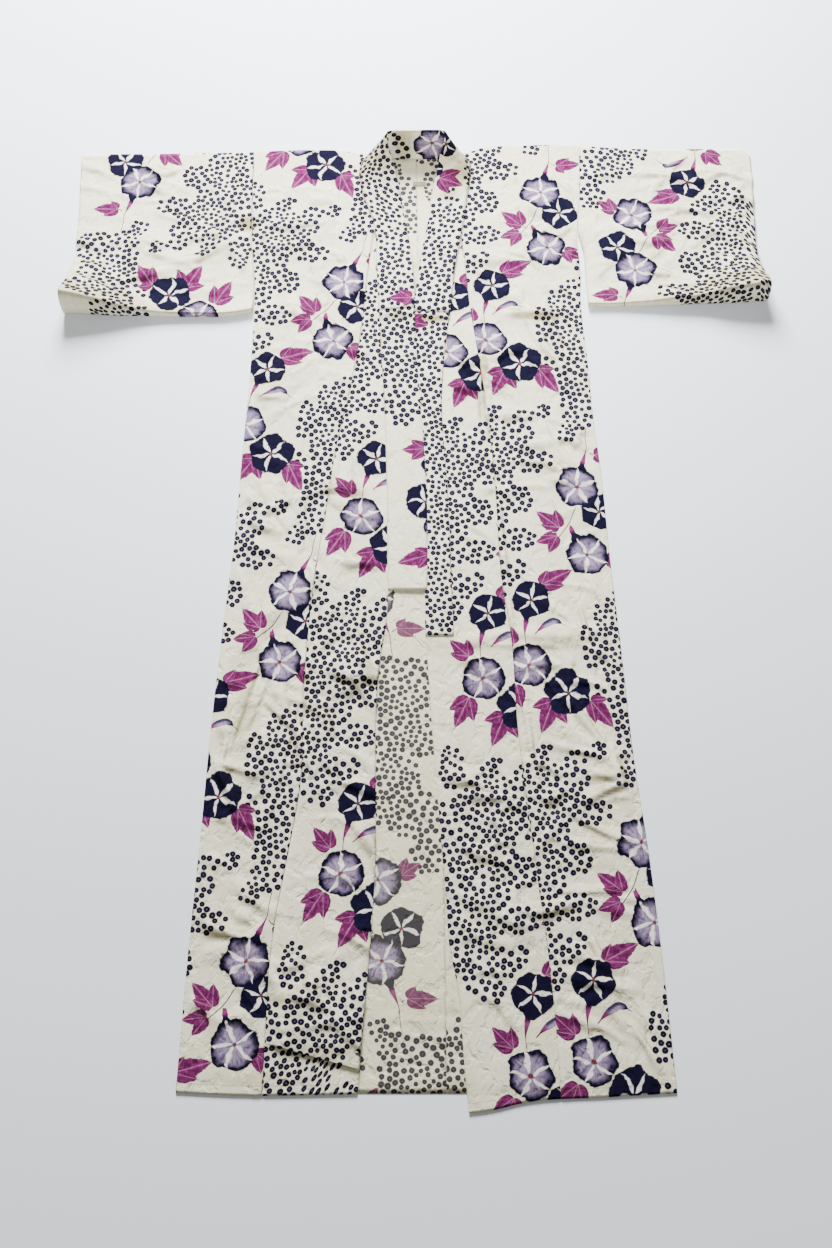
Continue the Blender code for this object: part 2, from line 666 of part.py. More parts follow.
def dress(piece, name, finish):
    """Name a piece, give it its own material and put it in the robe's collection."""
    piece.name = name
    material = bpy.data.materials.new(name)
    material.use_nodes = True
    shader = material.node_tree.nodes["Principled BSDF"]
    shader.inputs["Base Color"].default_value = finish["colour"]
    shader.inputs["Roughness"].default_value = finish["roughness"]
    shader.inputs["Metallic"].default_value = 0.0
    piece.data.materials.clear()
    piece.data.materials.append(material)
    for place in list(piece.users_collection):
        place.objects.unlink(piece)
    bpy.data.collections["yukata"].objects.link(piece)
    return piece


def build():
    """Clear the scene and make every piece of the robe."""
    for old in list(bpy.data.objects):
        bpy.data.objects.remove(old)
    bpy.context.scene.collection.children.link(bpy.data.collections.new("yukata"))
    for side in (RIGHT, LEFT):
        body_panel(side)
        okumi(side)
        sleeve(side)
    collar()
    collar_cover()
    neck_tag()


build()
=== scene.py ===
"""An unlined cotton yukata, laid out flat on a pale floor, front up, with its hem towards the camera.

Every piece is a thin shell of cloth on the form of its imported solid. "Out" is the distance from the
robe's centre line towards a side, so one set of methods serves the wearer's right (-X) and left (+X).
The print is a charted repeat: each face of a piece carries its place in the sprays' own coordinates,
and the shader draws petals, leaves, stems and dots from those.
"""

import logging
import math
from dataclasses import dataclass, field
from enum import Enum
from typing import Any, Iterable, Sequence, Union

import bpy
import numpy as np
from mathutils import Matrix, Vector
from mathutils.kdtree import KDTree


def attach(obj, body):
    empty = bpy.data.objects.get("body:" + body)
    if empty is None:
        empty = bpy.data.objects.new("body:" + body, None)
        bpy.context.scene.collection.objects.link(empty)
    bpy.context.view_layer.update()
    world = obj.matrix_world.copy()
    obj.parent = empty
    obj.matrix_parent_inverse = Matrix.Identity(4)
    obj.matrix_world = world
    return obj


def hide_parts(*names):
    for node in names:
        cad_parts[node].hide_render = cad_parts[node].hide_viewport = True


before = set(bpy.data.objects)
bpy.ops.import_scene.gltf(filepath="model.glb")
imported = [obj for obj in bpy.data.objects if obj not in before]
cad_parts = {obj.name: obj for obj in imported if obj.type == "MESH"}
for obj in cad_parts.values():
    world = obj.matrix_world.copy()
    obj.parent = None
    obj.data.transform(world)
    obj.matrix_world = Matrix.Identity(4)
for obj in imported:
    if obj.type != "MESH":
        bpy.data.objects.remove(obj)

Array = np.ndarray
Pair = tuple[float, float]
LOG = logging.getLogger("yukata")

CM = 0.01
MM = 0.001

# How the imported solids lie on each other, and the middle of the robe's box
WALL = 1.0 * MM
GAP = 0.3 * MM
STEP = 1.5 * MM
BEND = STEP / 2
BACK_LEVEL = WALL / 2
FRONT_LEVEL = BACK_LEVEL + STEP
COVER_STEP = WALL + 2 * GAP
MIDDLE_X = 0.15 * CM
MIDDLE_Y = 0.45 * CM

# Lengths along the robe
BACK_HEM = -80.7 * CM
KENSAKI = 64.5 * CM
TIP = KENSAKI - 0.6 * CM
ARMHOLE_END = 50.0 * CM
NECK_EDGE = 81.6 * CM
NECK_HALF = 9.4 * CM
NECK_START = 71.0 * CM
ALLOWANCE = 0.8 * CM
ARMHOLE_GAP = 0.08 * CM
SLEEVE_UNDER = 15.0 * CM
SLEEVE_START = 29.5 * CM
SLEEVE_END = 62.0 * CM
SLEEVE_WIDTH = 32.0 * CM
TUCK_HALF = 0.6 * CM
TUCK_LAP = 3.0 * CM
TUCK_LEAST = 0.06 * CM
TUCK_BEND = 0.10 * CM
TUCK_TURNED = 0.36
TUCK_START = 0.002
CURL_RUN = 3.0 * CM
CURL_END = 0.02 * CM
LAP_LIFT = STEP + 0.02 * CM
COVER_LAP_LIFT = 3.3 * STEP

# The cloth itself, and how finely the pieces are divided
CLOTH = 0.6 * MM
SEAM_LAP = 3.0 * MM
SEAM_SINK = 1.0 * MM
EDGE_DROP = 0.7 * MM
BAND = 0.9 * MM
FINE = 4.2 * MM
BACK_PITCH = 8.0 * MM
ACROSS_BODY = 68
ACROSS_OKUMI = 34
ACROSS_COLLAR = 14
ALONG_SLEEVE = 76
BEND_STEPS = 4
SIDE_SHARE = 0.98
LEAST_RISE = 1e-6

# Places too far away to take part: from a motif, in its own frame, and from a hem or seam, in centimetres
FAR = 9.0
WELL_AWAY = 50.0

# The dots of the print: draws for each square centimetre, and how many may reach one face
TRIES = 16
NEAREST_DOTS = 3

# The printed length repeats every so many centimetres; the collar's is measured from its band's middle
REPEAT = 59.5
HALF_BAND = 3.0


def smooth(low: float, high: float, value: Any) -> Any:
    """An even curve from 0 at low to 1 at high.

    Args:
        low: Where the curve starts.
        high: Where it ends, which may be less than low.
        value: The number, or array, to read it at.

    Returns:
        The height of the curve, from 0 to 1.
    """
    t = np.clip((np.asarray(value, dtype=float) - low) / (high - low), 0.0, 1.0)
    return t * t * (3 - 2 * t)


def mix(a: Any, b: Any, t: Any) -> Any:
    """The place a share t of the way from a to b."""
    return a + (b - a) * t


class Line:
    """A smooth line through a few measured places, given in centimetres and read in metres."""

    def __init__(self, *places: Pair) -> None:
        rows = np.array(sorted(places), dtype=float) * CM
        self.keys, self.values = rows[:, 0], rows[:, 1]
        self.slopes = np.gradient(self.values, self.keys)

    def at(self, place: Any) -> Array:
        """Read the line, which stays level beyond its ends.

        Args:
            place: Where to read it.

        Returns:
            The line's value there.
        """
        place = np.clip(place, self.keys[0], self.keys[-1])
        i = np.clip(np.searchsorted(self.keys, place), 1, len(self.keys) - 1)
        span = self.keys[i] - self.keys[i - 1]
        t = (place - self.keys[i - 1]) / span
        rise = t * t * (3 - 2 * t)
        turn = span * t * (1 - t) * ((1 - t) * self.slopes[i - 1] - t * self.slopes[i])
        return self.values[i - 1] * (1 - rise) + self.values[i] * rise + turn

    def beyond(self, place: Any) -> Array:
        """Read the line, which runs straight on beyond its ends."""
        held = np.clip(place, self.keys[0], self.keys[-1])
        end = np.where(np.asarray(place) < self.keys[0], self.slopes[0], self.slopes[-1])
        return self.at(place) + (place - held) * end

    def slope(self, place: Any) -> Array:
        """How steeply the line runs at a place."""
        return np.interp(place, self.keys, self.slopes)


@dataclass(frozen=True)
class Crease:
    """A soft ridge or trough in the cloth, in centimetres: from (out, y) to (out, y), bent to one side."""

    start: Pair
    end: Pair
    half: float
    height: float
    bend: float = 0.0
    uneven: float = 0.25

    def lift(self, out: Array, y: Array) -> Array:
        """How far the crease lifts the cloth.

        Args:
            out: Places out from the centre line, in metres.
            y: Places along the robe.

        Returns:
            The lift at each place, in metres.
        """
        ax, ay, bx, by = (value * CM for value in (*self.start, *self.end))
        dx, dy = bx - ax, by - ay
        reach = math.hypot(dx, dy)
        along = ((out - ax) * dx + (y - ay) * dy) / reach
        share = np.clip(along / reach, 0.0, 1.0)
        off = ((out - ax) * dy - (y - ay) * dx) / reach - self.bend * CM * 4 * share * (1 - share)
        past = along - share * reach
        wave = np.sin(share * 7.0 + ax * 40 + ay * 23)
        half = self.half * CM * (1 + self.uneven * wave)
        side = np.where(off > 0, 1.25, 0.85)
        near = np.maximum(1 - (off / (half * side)) ** 2 - (past / (half * 1.5)) ** 2, 0.0)
        ends = 0.35 + 0.65 * np.sin(np.pi * np.clip(share * 0.92 + 0.04, 0, 1)) ** 0.6
        return self.height * CM * near * near * ends * (1 + 0.3 * self.uneven * wave)

    def mirrored(self, sign: int) -> "Crease":
        """The crease as one side of the robe sees it, from places measured towards the left."""
        (ax, ay), (bx, by) = self.start, self.end
        return Crease((sign * ax, ay), (sign * bx, by), self.half, self.height)


@dataclass(frozen=True)
class Crumple:
    """Many small creases strewn over a patch of cloth, the same ones each time."""

    seed: int
    low: Pair
    high: Pair
    count: int
    height: float = 0.06
    lean: float = 0.0

    def creases(self) -> list[Crease]:
        """The small creases, each at a place and angle drawn from the seed."""
        draw = np.random.default_rng(self.seed)
        found = []
        for _ in range(self.count):
            x, y = draw.uniform(self.low[0], self.high[0]), draw.uniform(self.low[1], self.high[1])
            angle = math.radians(self.lean) + draw.normal(0.0, 0.55)
            reach = draw.uniform(3.0, 12.0)
            dx, dy = math.cos(angle) * reach / 2, math.sin(angle) * reach / 2
            half = draw.uniform(0.6, 1.5)
            height = self.height * draw.uniform(0.4, 1.2) * half * (1 if draw.random() < 0.75 else -0.3)
            found.append(Crease((x - dx, y - dy), (x + dx, y + dy), half, height, draw.uniform(-1.0, 1.0)))
        return found


def lift_of(creases: Iterable[Crease], out: Array, y: Array) -> Array:
    """How far a set of creases lifts the cloth in all.

    Args:
        creases: The creases.
        out: Places out from the centre line.
        y: Places along the robe.

    Returns:
        The lift at each place, never so low that it would reach the layer beneath.
    """
    ridges = np.zeros(np.broadcast(out, y).shape)
    troughs = np.zeros_like(ridges)
    for crease in creases:
        lift = crease.lift(out, y)
        ridges += np.maximum(lift, 0.0) ** 3
        troughs = np.minimum(troughs, lift)
    return np.maximum(np.cbrt(ridges) + troughs, -0.5 * MM)


@dataclass(frozen=True)
class StainAndShadePatch:
    """A beige patch of painted shade, save one that is a real stain: its middle and half widths in
    centimetres.
    """

    x: float
    y: float
    half_x: float
    half_y: float
    strength: float

    def share(self, points: Array) -> Array:
        """How strong the mark is at points of the robe."""
        off = np.hypot(((points[..., 0] + MIDDLE_X) / CM - self.x) / self.half_x,
                       ((points[..., 1] + MIDDLE_Y) / CM - self.y) / self.half_y)
        return self.strength * smooth(1.4, 0.3, off)


# The first patch is a real brown stain by the right armhole. All the others are painted shade: under the
# collar cover's ends, inside and beside the standing collar, on the sleeves' rolls and near the armholes, and
# along the folds, pleats and crease troughs of the fronts and near the hem.
STAIN_AND_SHADE_PATCHES = (
    StainAndShadePatch(-30.5, 66.8, 2.2, 2.2, 0.9), StainAndShadePatch(-3.4, 47.3, 3.4, 0.9, 0.7), StainAndShadePatch(3.0, 46.9, 3.2, 0.9, 0.9),
    StainAndShadePatch(21.3, 47.4, 5.5, 1.0, 0.85), StainAndShadePatch(11.5, 37.0, 0.8, 11.0, 0.55), StainAndShadePatch(-2.4, 82.3, 2.8, 2.2, 0.65),
    StainAndShadePatch(-8.6, 78.6, 2.6, 2.8, 0.6), StainAndShadePatch(8.2, 77.3, 2.8, 3.2, 0.75), StainAndShadePatch(6.0, 72.6, 2.2, 1.8, 0.5),
    StainAndShadePatch(-35.5, 60.0, 3.6, 3.0, 0.35), StainAndShadePatch(29.4, 60.0, 1.5, 8.0, 0.45), StainAndShadePatch(5.5, -80.0, 4.0, 2.0, 0.4),
    StainAndShadePatch(-50.0, 48.6, 13.0, 1.6, 0.45), StainAndShadePatch(46.0, 50.6, 16.0, 1.6, 0.45), StainAndShadePatch(-27.0, -25.0, 2.5, 9.0, 0.4),
    StainAndShadePatch(-9.0, -20.0, 4.0, 1.6, 0.5), StainAndShadePatch(23.0, -12.8, 7.0, 1.0, 0.5), StainAndShadePatch(27.0, -48.5, 5.0, 1.2, 0.4),
    StainAndShadePatch(-13.0, -75.0, 7.0, 1.3, 0.5), StainAndShadePatch(17.0, -80.2, 12.0, 1.2, 0.4), StainAndShadePatch(-22.0, -79.0, 12.0, 1.5, 0.35),
    StainAndShadePatch(-25.0, 35.0, 6.0, 1.5, 0.4), StainAndShadePatch(2.0, -69.5, 6.0, 1.4, 0.45), StainAndShadePatch(3.5, -14.0, 4.0, 2.0, 0.35),
)


@dataclass(frozen=True)
class Grain:
    """How a piece's cloth was cut from the printed length.

    Each row gives a place (y, x) of one lengthwise thread in centimetres, and how far along the
    printed length it is. The thread lies `across` centimetres from the middle of the repeat.
    """

    rows: tuple[tuple[float, float, float], ...]
    across: float = 0.0
    turned: bool = False

    def chart(self, x: Array, y: Array) -> Array:
        """Where places of the piece lie on the printed length.

        Args:
            x: Places across, in metres.
            y: Places along.

        Returns:
            An array of (across, along) in centimetres.
        """
        thread = Line(*((row[0], row[1]) for row in self.rows))
        length = Line(*((row[0], row[2]) for row in self.rows))
        lean = thread.slope(y)
        foot = y + lean * (x - thread.beyond(y))
        sign = -1 if self.turned else 1
        across = self.across + sign * (x - thread.beyond(foot)) * np.sqrt(1 + lean * lean) / CM
        return np.stack(np.broadcast_arrays(across, length.beyond(foot) / CM), axis=-1)


@dataclass(frozen=True)
class Side:
    """One half of the robe: its outline, seams and grain, as smooth lines in centimetres."""

    name: str
    sign: int
    fold: Line
    wrap: Line
    okumi_seam: Line
    collar_seam: Line
    collar_free: Line
    front_edge: Line
    shoulder: Line
    hem: Line
    sleeve_bottom: Line
    sleeve_height: Line
    sleeve_free: Line
    sleeve_end: Line
    collar_end: float
    cover_end: float
    corner: float
    folds: tuple[Crease, ...]
    creases: tuple[Crease, ...]
    front_grain: Grain
    back_grain: Grain
    okumi_grain: Grain
    sleeve_grain: Grain

    def put(self, out: Any, y: Any, z: Any) -> Array:
        """Points of this side in the robe's own frame."""
        parts = np.broadcast_arrays(self.sign * np.asarray(out) - MIDDLE_X, np.asarray(y) - MIDDLE_Y, z)
        return np.stack(parts, axis=-1).astype(float)

    def ease(self, out: Array, y: Array) -> Array:
        """How free the front's cloth is to lift: not at its folds, its hem or under the collar."""
        free = smooth(0.0, 3 * CM, self.fold.at(y) - out) * smooth(0.0, 4 * CM, self.shoulder.at(out) - y)
        free = free * smooth(0.0, 5 * CM, y - self.hem.at(out))
        strip = smooth(0.0, 3 * CM, out - self.collar_seam.at(y))
        return free * np.maximum(strip, smooth(-2 * CM, -6 * CM, y - self.collar_end))

    def front_height(self, out: Array, y: Array, fine: bool = True) -> Array:
        """The middle of the front's cloth above the floor.

        Args:
            out: Places out from the centre line.
            y: Places along the robe.
            fine: Whether the small creases are added to the main folds.

        Returns:
            Heights in metres.
        """
        height = np.zeros(np.broadcast(out, y).shape)
        for fold in self.folds:
            height = np.maximum(height, fold.lift(out, y))
        if fine:
            height = height + lift_of(self.creases, out, y)
        return FRONT_LEVEL + height * self.ease(out, y)

    def seam_at(self, y: Array) -> Array:
        """The side seam's place, on the underside."""
        least = 0.3 * CM * smooth(ARMHOLE_END + 8 * CM, ARMHOLE_END + 2 * CM, y)
        return self.fold.at(y) - np.maximum(self.wrap.at(y), least)

    def inner_edge(self, y: Array) -> Array:
        """The front panel's inner edge: under the collar above the gore's tip, at its seam below."""
        collar = self.collar_seam.at(y) - ALLOWANCE
        seam = self.okumi_seam.at(y)
        return mix(seam, collar, smooth(KENSAKI, KENSAKI + 2 * CM, y))

    def leaned(self, out: Array, y: Array) -> Array:
        """A place along the robe, moved so that the rows follow the shoulder fold and the hem."""
        fold_lean = self.shoulder.at(out) - self.shoulder.at(NECK_HALF)
        hem_lean = self.hem.at(out) - BACK_HEM
        return y + fold_lean * smooth(60 * CM, 82 * CM, y) + hem_lean * smooth(-60 * CM, BACK_HEM, y)


CENTRE_BACK = Line((82, 0.0), (50, 0.7), (10, 2.4), (-44, 4.2), (-81, 4.4))

RIGHT = Side(
    name="right",
    sign=-1,
    fold=Line((84, 30.0), (70, 29.8), (63, 29.6), (56, 28.9), (50, 28.6), (40, 28.7), (19, 29.5),
              (4, 30.1), (-12, 31.3), (-27, 32.2), (-44, 32.9), (-62, 33.8), (-81, 34.4)),
    wrap=Line((84, 0), (70, 0), (63, 0), (56, 0), (50, 0), (40, 0.8), (19, 2.5), (4, 4.0), (-12, 5.2),
              (-27, 6.2), (-44, 7.5), (-62, 8.4), (-81, 9.2)),
    okumi_seam=Line((66, 7.6), (54, 8.9), (46, 9.5), (34, 11.2), (24, 13.2), (10, 15.0), (-6, 17.0),
                    (-20, 17.8), (-36, 17.9), (-45, 19.2), (-57, 21.1), (-81, 22.1)),
    collar_seam=Line((83, 9.6), (76, 10.4), (73, 9.8), (69, 8.1), (65, 7.4), (57, 7.0), (48, 6.5),
                     (21, 5.1), (-4, 4.6)),
    collar_free=Line((73, 3.1), (66, 2.0), (60, 1.0), (51, 0.4), (44, 0.1), (28, -0.9), (21, -1.4),
                     (8, -1.9), (-4, -1.8)),
    front_edge=Line((-3, 4.6), (-8, 4.7), (-18, 6.0), (-25, 6.3), (-48, 6.2), (-57, 6.6), (-70, 7.6),
                    (-81, 8.4)),
    shoulder=Line((8, 82.0), (10, 82.2), (13, 82.8), (21, 83.1), (30, 82.7), (46, 82.3), (63, 82.2)),
    hem=Line((4, -80.7), (16, -80.9), (23, -81.0), (36, -80.5)),
    sleeve_bottom=Line((28, 48.6), (33, 47.5), (40, 47.3), (46, 47.3), (50, 47.3), (54, 47.4), (58, 47.7),
                       (62, 47.9)),
    sleeve_height=Line((28, 1.2), (33, 1.2), (40, 1.3), (46, 1.6), (50, 2.4), (54, 3.6), (58, 4.7),
                       (62, 5.5)),
    sleeve_free=Line((56, 28.8), (50, 28.7), (47, 28.8)),
    sleeve_end=Line((84, 62.1), (76, 61.8), (65, 61.3), (57, 61.3), (47, 62.3)),
    collar_end=-4.0 * CM,
    cover_end=48.4 * CM,
    corner=0.2 * CM,
    folds=(
        Crease((11.6, 21), (13.3, 10), 2.6, 0.5),
        Crease((13.3, 10), (17.4, -36), 2.8, 0.45, 0.4),
        Crease((5.5, -16.8), (17.0, -16.5), 3.8, 0.7),
        Crease((19.0, 38), (30.0, 28), 2.9, 0.35, 0.8),
        Crease((15.0, 0), (28.0, -14), 3.1, 0.4, -0.9),
        Crease((20.0, -18), (29.0, -40), 3.1, 0.35, 0.7),
        Crease((16.0, 66), (27.0, 60), 2.9, 0.35),
        Crease((9.0, -58), (19.0, -70), 3.1, 0.35),
    ),
    creases=(
        Crease((18.5, 38.7), (31.2, 30.9), 1.3, 0.35, 0.6), Crease((17.0, 33.0), (27.0, 26.5), 1.2, 0.26),
        Crease((20.9, 6.6), (26.3, 15.7), 1.2, 0.32), Crease((13.3, -38.4), (27.0, -5.7), 1.5, 0.32, 1.0),
        Crease((29.0, -30.0), (24.0, -14.0), 1.0, 0.42, 0.5), Crease((26.5, -27.0), (21.0, -12.0), 1.0, 0.35),
        Crease((31.0, -35.0), (27.0, -18.0), 0.9, 0.35), Crease((23.0, -42.0), (18.5, -22.0), 1.1, 0.29),
        Crease((12.6, -17.6), (6.2, -23.7), 1.6, 0.4, 0.4), Crease((12.0, 58.0), (12.8, 40.0), 1.1, 0.29),
        *Crumple(11, (7, -76), (33, 78), 190, 0.38, 25).creases(),
    ),
    front_grain=Grain(((54.5, -13.0, 0.0), (-4.3, -20.5, -REPEAT), (-62.4, -25.3, -2 * REPEAT))),
    back_grain=Grain(((82.2, -9.5, 28.0), (-62.4, -5.2, 3 * REPEAT))),
    okumi_grain=Grain(((19.8, -6.7, -19.0), (-38.9, -8.9, -19.0 - REPEAT)), across=-10.4),
    sleeve_grain=Grain(((6.5, -50.6, 0.0), (36.5, -50.6, 30.0)), turned=True),
)

LEFT = Side(
    name="left",
    sign=1,
    fold=Line((84, 30.3), (72, 29.8), (64, 29.1), (57, 29.4), (50, 29.2), (40, 29.8), (27, 30.4),
              (17, 31.2), (2, 31.9), (-17, 33.1), (-30, 33.8), (-47, 35.4), (-63, 36.5), (-81, 37.4)),
    wrap=Line((84, 0), (72, 0), (64, 0), (57, 0), (50, 0), (40, 0.6), (27, 1.4), (17, 1.8), (2, 2.2),
              (-17, 2.9), (-30, 3.2), (-47, 4.0), (-63, 4.5), (-81, 4.9)),
    okumi_seam=Line((65, 8.1), (56, 9.0), (50, 9.5), (36, 11.3), (29, 12.2), (16, 13.2), (-3, 14.1),
                    (-11, 15.2), (-27, 16.0), (-48, 18.1), (-67, 20.1), (-82, 20.8)),
    collar_seam=Line((83, 9.9), (76, 9.5), (69, 8.9), (65, 8.2), (57, 6.9), (48, 6.0), (42, 5.2),
                     (32, 4.5), (12, 5.4), (-12, 6.1)),
    collar_free=Line((73, 3.3), (66, 2.2), (61, 1.3), (55, 0.4), (48, -0.3), (40, -0.1), (28, 0.4),
                     (21, 0.9), (8, 1.4), (-4, 1.4), (-12, 1.5)),
    front_edge=Line((-3, 1.7), (-12, 1.7), (-22, 2.2), (-35, 3.1), (-53, 4.5), (-61, 5.1), (-65, 6.0),
                    (-76, 7.1), (-83.3, 7.8)),
    shoulder=Line((8, 82.4), (10, 82.7), (12, 83.5), (18, 84.0), (29, 84.2), (35, 83.7), (63, 83.4)),
    hem=Line((1, -83.3), (8, -83.3), (11, -82.9), (15, -82.0), (27, -81.2), (38, -80.6)),
    sleeve_bottom=Line((29, 49.4), (34, 49.4), (41, 49.5), (45, 49.6), (50, 49.8), (54, 49.9), (58, 50.1),
                       (62, 50.4)),
    sleeve_height=Line((29, 1.1), (34, 1.1), (41, 1.6), (45, 2.1), (50, 2.6), (54, 3.8), (58, 4.5),
                       (62, 4.8)),
    sleeve_free=Line((66, 29.1), (63.5, 29.5), (61, 30.0), (55, 30.2), (48, 30.5)),
    sleeve_end=Line((84, 62.0), (80, 62.0), (70, 61.7), (57, 61.3), (49, 62.4)),
    collar_end=-11.8 * CM,
    cover_end=47.9 * CM,
    corner=2.0 * CM,
    folds=(
        Crease((15.5, 47.5), (25.5, 48.5), 2.1, 0.45),
        Crease((17.0, -11.5), (29.5, -11.0), 2.1, 0.4, 0.3),
        Crease((10.5, 46), (12.0, 30), 2.1, 0.4),
        Crease((20.0, 24), (29.0, 12), 2.9, 0.35, 0.8),
        Crease((21.0, -25), (32.0, -36), 3.1, 0.35, -0.7),
        Crease((7.0, -50), (16.0, -58), 3.1, 0.35),
        Crease((17.0, 68), (27.0, 74), 2.9, 0.35),
    ),
    creases=(
        Crease((1.4, -12.5), (28.3, -13.4), 0.6, 0.22, 0.3), Crease((22.0, -44.9), (31.1, -45.8), 0.9, 0.32),
        Crease((21.7, -52.1), (31.5, -51.5), 0.9, 0.32, 0.3), Crease((28.5, -2.2), (33.0, -9.1), 0.9, 0.32),
        Crease((5.0, 31.3), (5.6, 24.0), 0.8, 0.32), Crease((11.4, 40.0), (11.8, 24.0), 0.8, 0.35, 0.3),
        Crease((13.5, 20.0), (15.5, -10.0), 0.9, 0.29, 0.4), Crease((17.0, -20.0), (19.5, -44.0), 1.0, 0.29),
        Crease((10.0, -30.0), (11.5, -60.0), 1.0, 0.29, -0.4), Crease((18.0, 62.0), (27.5, 58.0), 1.0, 0.32),
        *Crumple(23, (7, -76), (35, 78), 190, 0.38, -20).creases(),
    ),
    front_grain=Grain(((73.6, 22.6, 0.0), (14.4, 27.0, -REPEAT), (-44.9, 34.2, -2 * REPEAT))),
    back_grain=Grain(((82.4, 21.9, 8.8), (-81.0, 26.3, 172.2))),
    okumi_grain=Grain(((51.6, 6.4, -19.0), (-7.9, 11.7, -19.0 - REPEAT), (-67.1, 17.3, -19.0 - 2 * REPEAT)),
                      across=-10.4),
    sleeve_grain=Grain(((26.9, 39.4, 0.0), (56.9, 39.4, 30.0)), turned=True),
)

# The back's creases near its hem, where the open fronts leave it free, measured towards the left
HEM_CREASES = (
    Crease((-4, -70.5), (8, -71.5), 0.9, 0.25), Crease((-2, -72.6), (7, -73.4), 0.8, 0.2),
    Crease((-6, -78.9), (8, -79.1), 1.0, 0.08),
)

# The collar round the neck: x, y and z of its seam, then of its free edge, and the bow between them, in cm
NECK = (
    (-9.0, 71.0, 0.50, -2.8, 71.2, 0.80, 0.10),
    (-10.1, 74.5, 0.55, -3.3, 74.4, 1.30, 0.30),
    (-10.4, 77.4, 0.60, -4.1, 77.3, 2.30, 0.50),
    (-10.0, 79.6, 0.65, -4.9, 79.7, 3.60, 0.55),
    (-9.2, 80.8, 0.60, -5.4, 81.3, 4.50, 0.45),
    (-7.9, 81.3, 0.24, -5.5, 82.4, 4.95, 0.30),
    (-6.0, 81.4, 0.15, -4.9, 83.0, 5.20, 0.15),
    (-3.4, 81.3, 0.13, -3.2, 83.1, 5.25, 0.00),
    (0.0, 81.2, 0.13, 0.0, 83.1, 5.30, 0.00),
    (3.4, 81.3, 0.13, 3.2, 83.1, 5.35, 0.00),
    (6.0, 81.4, 0.15, 5.0, 83.0, 5.30, 0.15),
    (7.9, 81.3, 0.24, 5.5, 82.4, 5.05, 0.30),
    (9.1, 80.8, 0.60, 5.3, 81.3, 4.60, 0.45),
    (9.9, 79.6, 0.65, 4.7, 79.7, 3.60, 0.55),
    (9.9, 77.4, 0.60, 4.1, 77.3, 2.30, 0.50),
    (9.6, 74.5, 0.55, 3.4, 74.4, 1.40, 0.30),
    (9.1, 71.0, 0.50, 2.8, 71.2, 0.80, 0.10),
)


@dataclass(frozen=True)
class Flower:
    """A morning glory of the print: its middle and radius in centimetres, and its turn in degrees."""

    middle: Pair
    radius: float
    turn: float = 0.0

    def chart(self, at: Array) -> Array:
        """Places in the flower's own frame, where its rim is at 1."""
        angle = math.radians(self.turn)
        dx, dy = at[..., 0] - self.middle[0], at[..., 1] - self.middle[1]
        x = dx * math.cos(angle) + dy * math.sin(angle)
        y = dy * math.cos(angle) - dx * math.sin(angle)
        return np.stack([x / self.radius, y / self.radius, np.zeros_like(x)], axis=-1)


@dataclass(frozen=True)
class Leaf:
    """A leaf of the print with three pointed lobes from one base, in centimetres."""

    base: Pair
    tips: tuple[Pair, Pair, Pair]
    least_half: float = 0.45
    widening: float = 0.17

    @property
    def middle(self) -> Pair:
        """The middle of the leaf's corners."""
        points = np.array([self.base, *self.tips])
        return float(points[:, 0].mean()), float(points[:, 1].mean())

    @property
    def reach(self) -> float:
        """How far the leaf extends from its middle."""
        return max(math.dist(self.middle, point) for point in (self.base, *self.tips))

    def lobe(self, index: int, at: Array) -> Array:
        """Places in a lobe's own frame: 0 to 1 from base to tip, and -1 to 1 across it.

        Args:
            index: Which lobe, 0 to 2.
            at: Places on the printed length.

        Returns:
            The places in the lobe's frame, with the lobe's length last.
        """
        dx, dy = self.tips[index][0] - self.base[0], self.tips[index][1] - self.base[1]
        length = math.hypot(dx, dy)
        px, py = at[..., 0] - self.base[0], at[..., 1] - self.base[1]
        along = (px * dx + py * dy) / length ** 2
        across = (py * dx - px * dy) / length / (self.least_half + self.widening * length)
        return np.stack([along, across, np.full_like(along, length / 10)], axis=-1)


class Growth(Enum):
    """What a thin motif of the print is."""

    CALYX = 0.0
    BUD = 1.0
    STALK = 2.0


@dataclass(frozen=True)
class Sprig:
    """A calyx with its stem, a bud or a bare stalk: a curve through a few places, in centimetres."""

    growth: Growth
    points: tuple[Pair, ...]

    def path(self) -> Array:
        """The curve as many short runs."""
        points = np.array(self.points)
        ends = np.vstack([2 * points[0] - points[1], points, 2 * points[-1] - points[-2]])
        t = np.linspace(0, 1, 8, endpoint=False)[:, None]
        runs = []
        for a, b, c, d in zip(ends, ends[1:], ends[2:], ends[3:]):
            runs.append(0.5 * (2 * b + (c - a) * t + (2 * a - 5 * b + 4 * c - d) * t ** 2
                               + (3 * b - a - 3 * c + d) * t ** 3))
        return np.vstack([*runs, points[-1:]])

    def chart(self, at: Array) -> Array:
        """Places as the distance along the curve and off it.

        Args:
            at: Places on the printed length.

        Returns:
            Distance along, distance off to the left, and the kind of growth.
        """
        path = self.path()
        runs = np.diff(path, axis=0)
        lengths = np.linalg.norm(runs, axis=1)
        best = np.full(at.shape[:-1], np.inf)
        along = np.zeros(at.shape[:-1])
        off = np.zeros(at.shape[:-1])
        done = 0.0
        for start, run, length in zip(path, runs, lengths):
            px, py = at[..., 0] - start[0], at[..., 1] - start[1]
            t = np.clip((px * run[0] + py * run[1]) / length ** 2, 0.0, 1.0)
            dx, dy = px - run[0] * t, py - run[1] * t
            distance = np.hypot(dx, dy)
            side = np.where(run[0] * dy - run[1] * dx < 0, -1.0, 1.0)
            near = distance < best
            best = np.where(near, distance, best)
            along = np.where(near, done + t * length, along)
            off = np.where(near, distance * side, off)
            done += length
        return np.stack([along, off, np.full_like(along, self.growth.value)], axis=-1)


@dataclass(frozen=True)
class Patch:
    """A patch of small dots: its middle and half widths in centimetres."""

    middle: Pair
    half: Pair


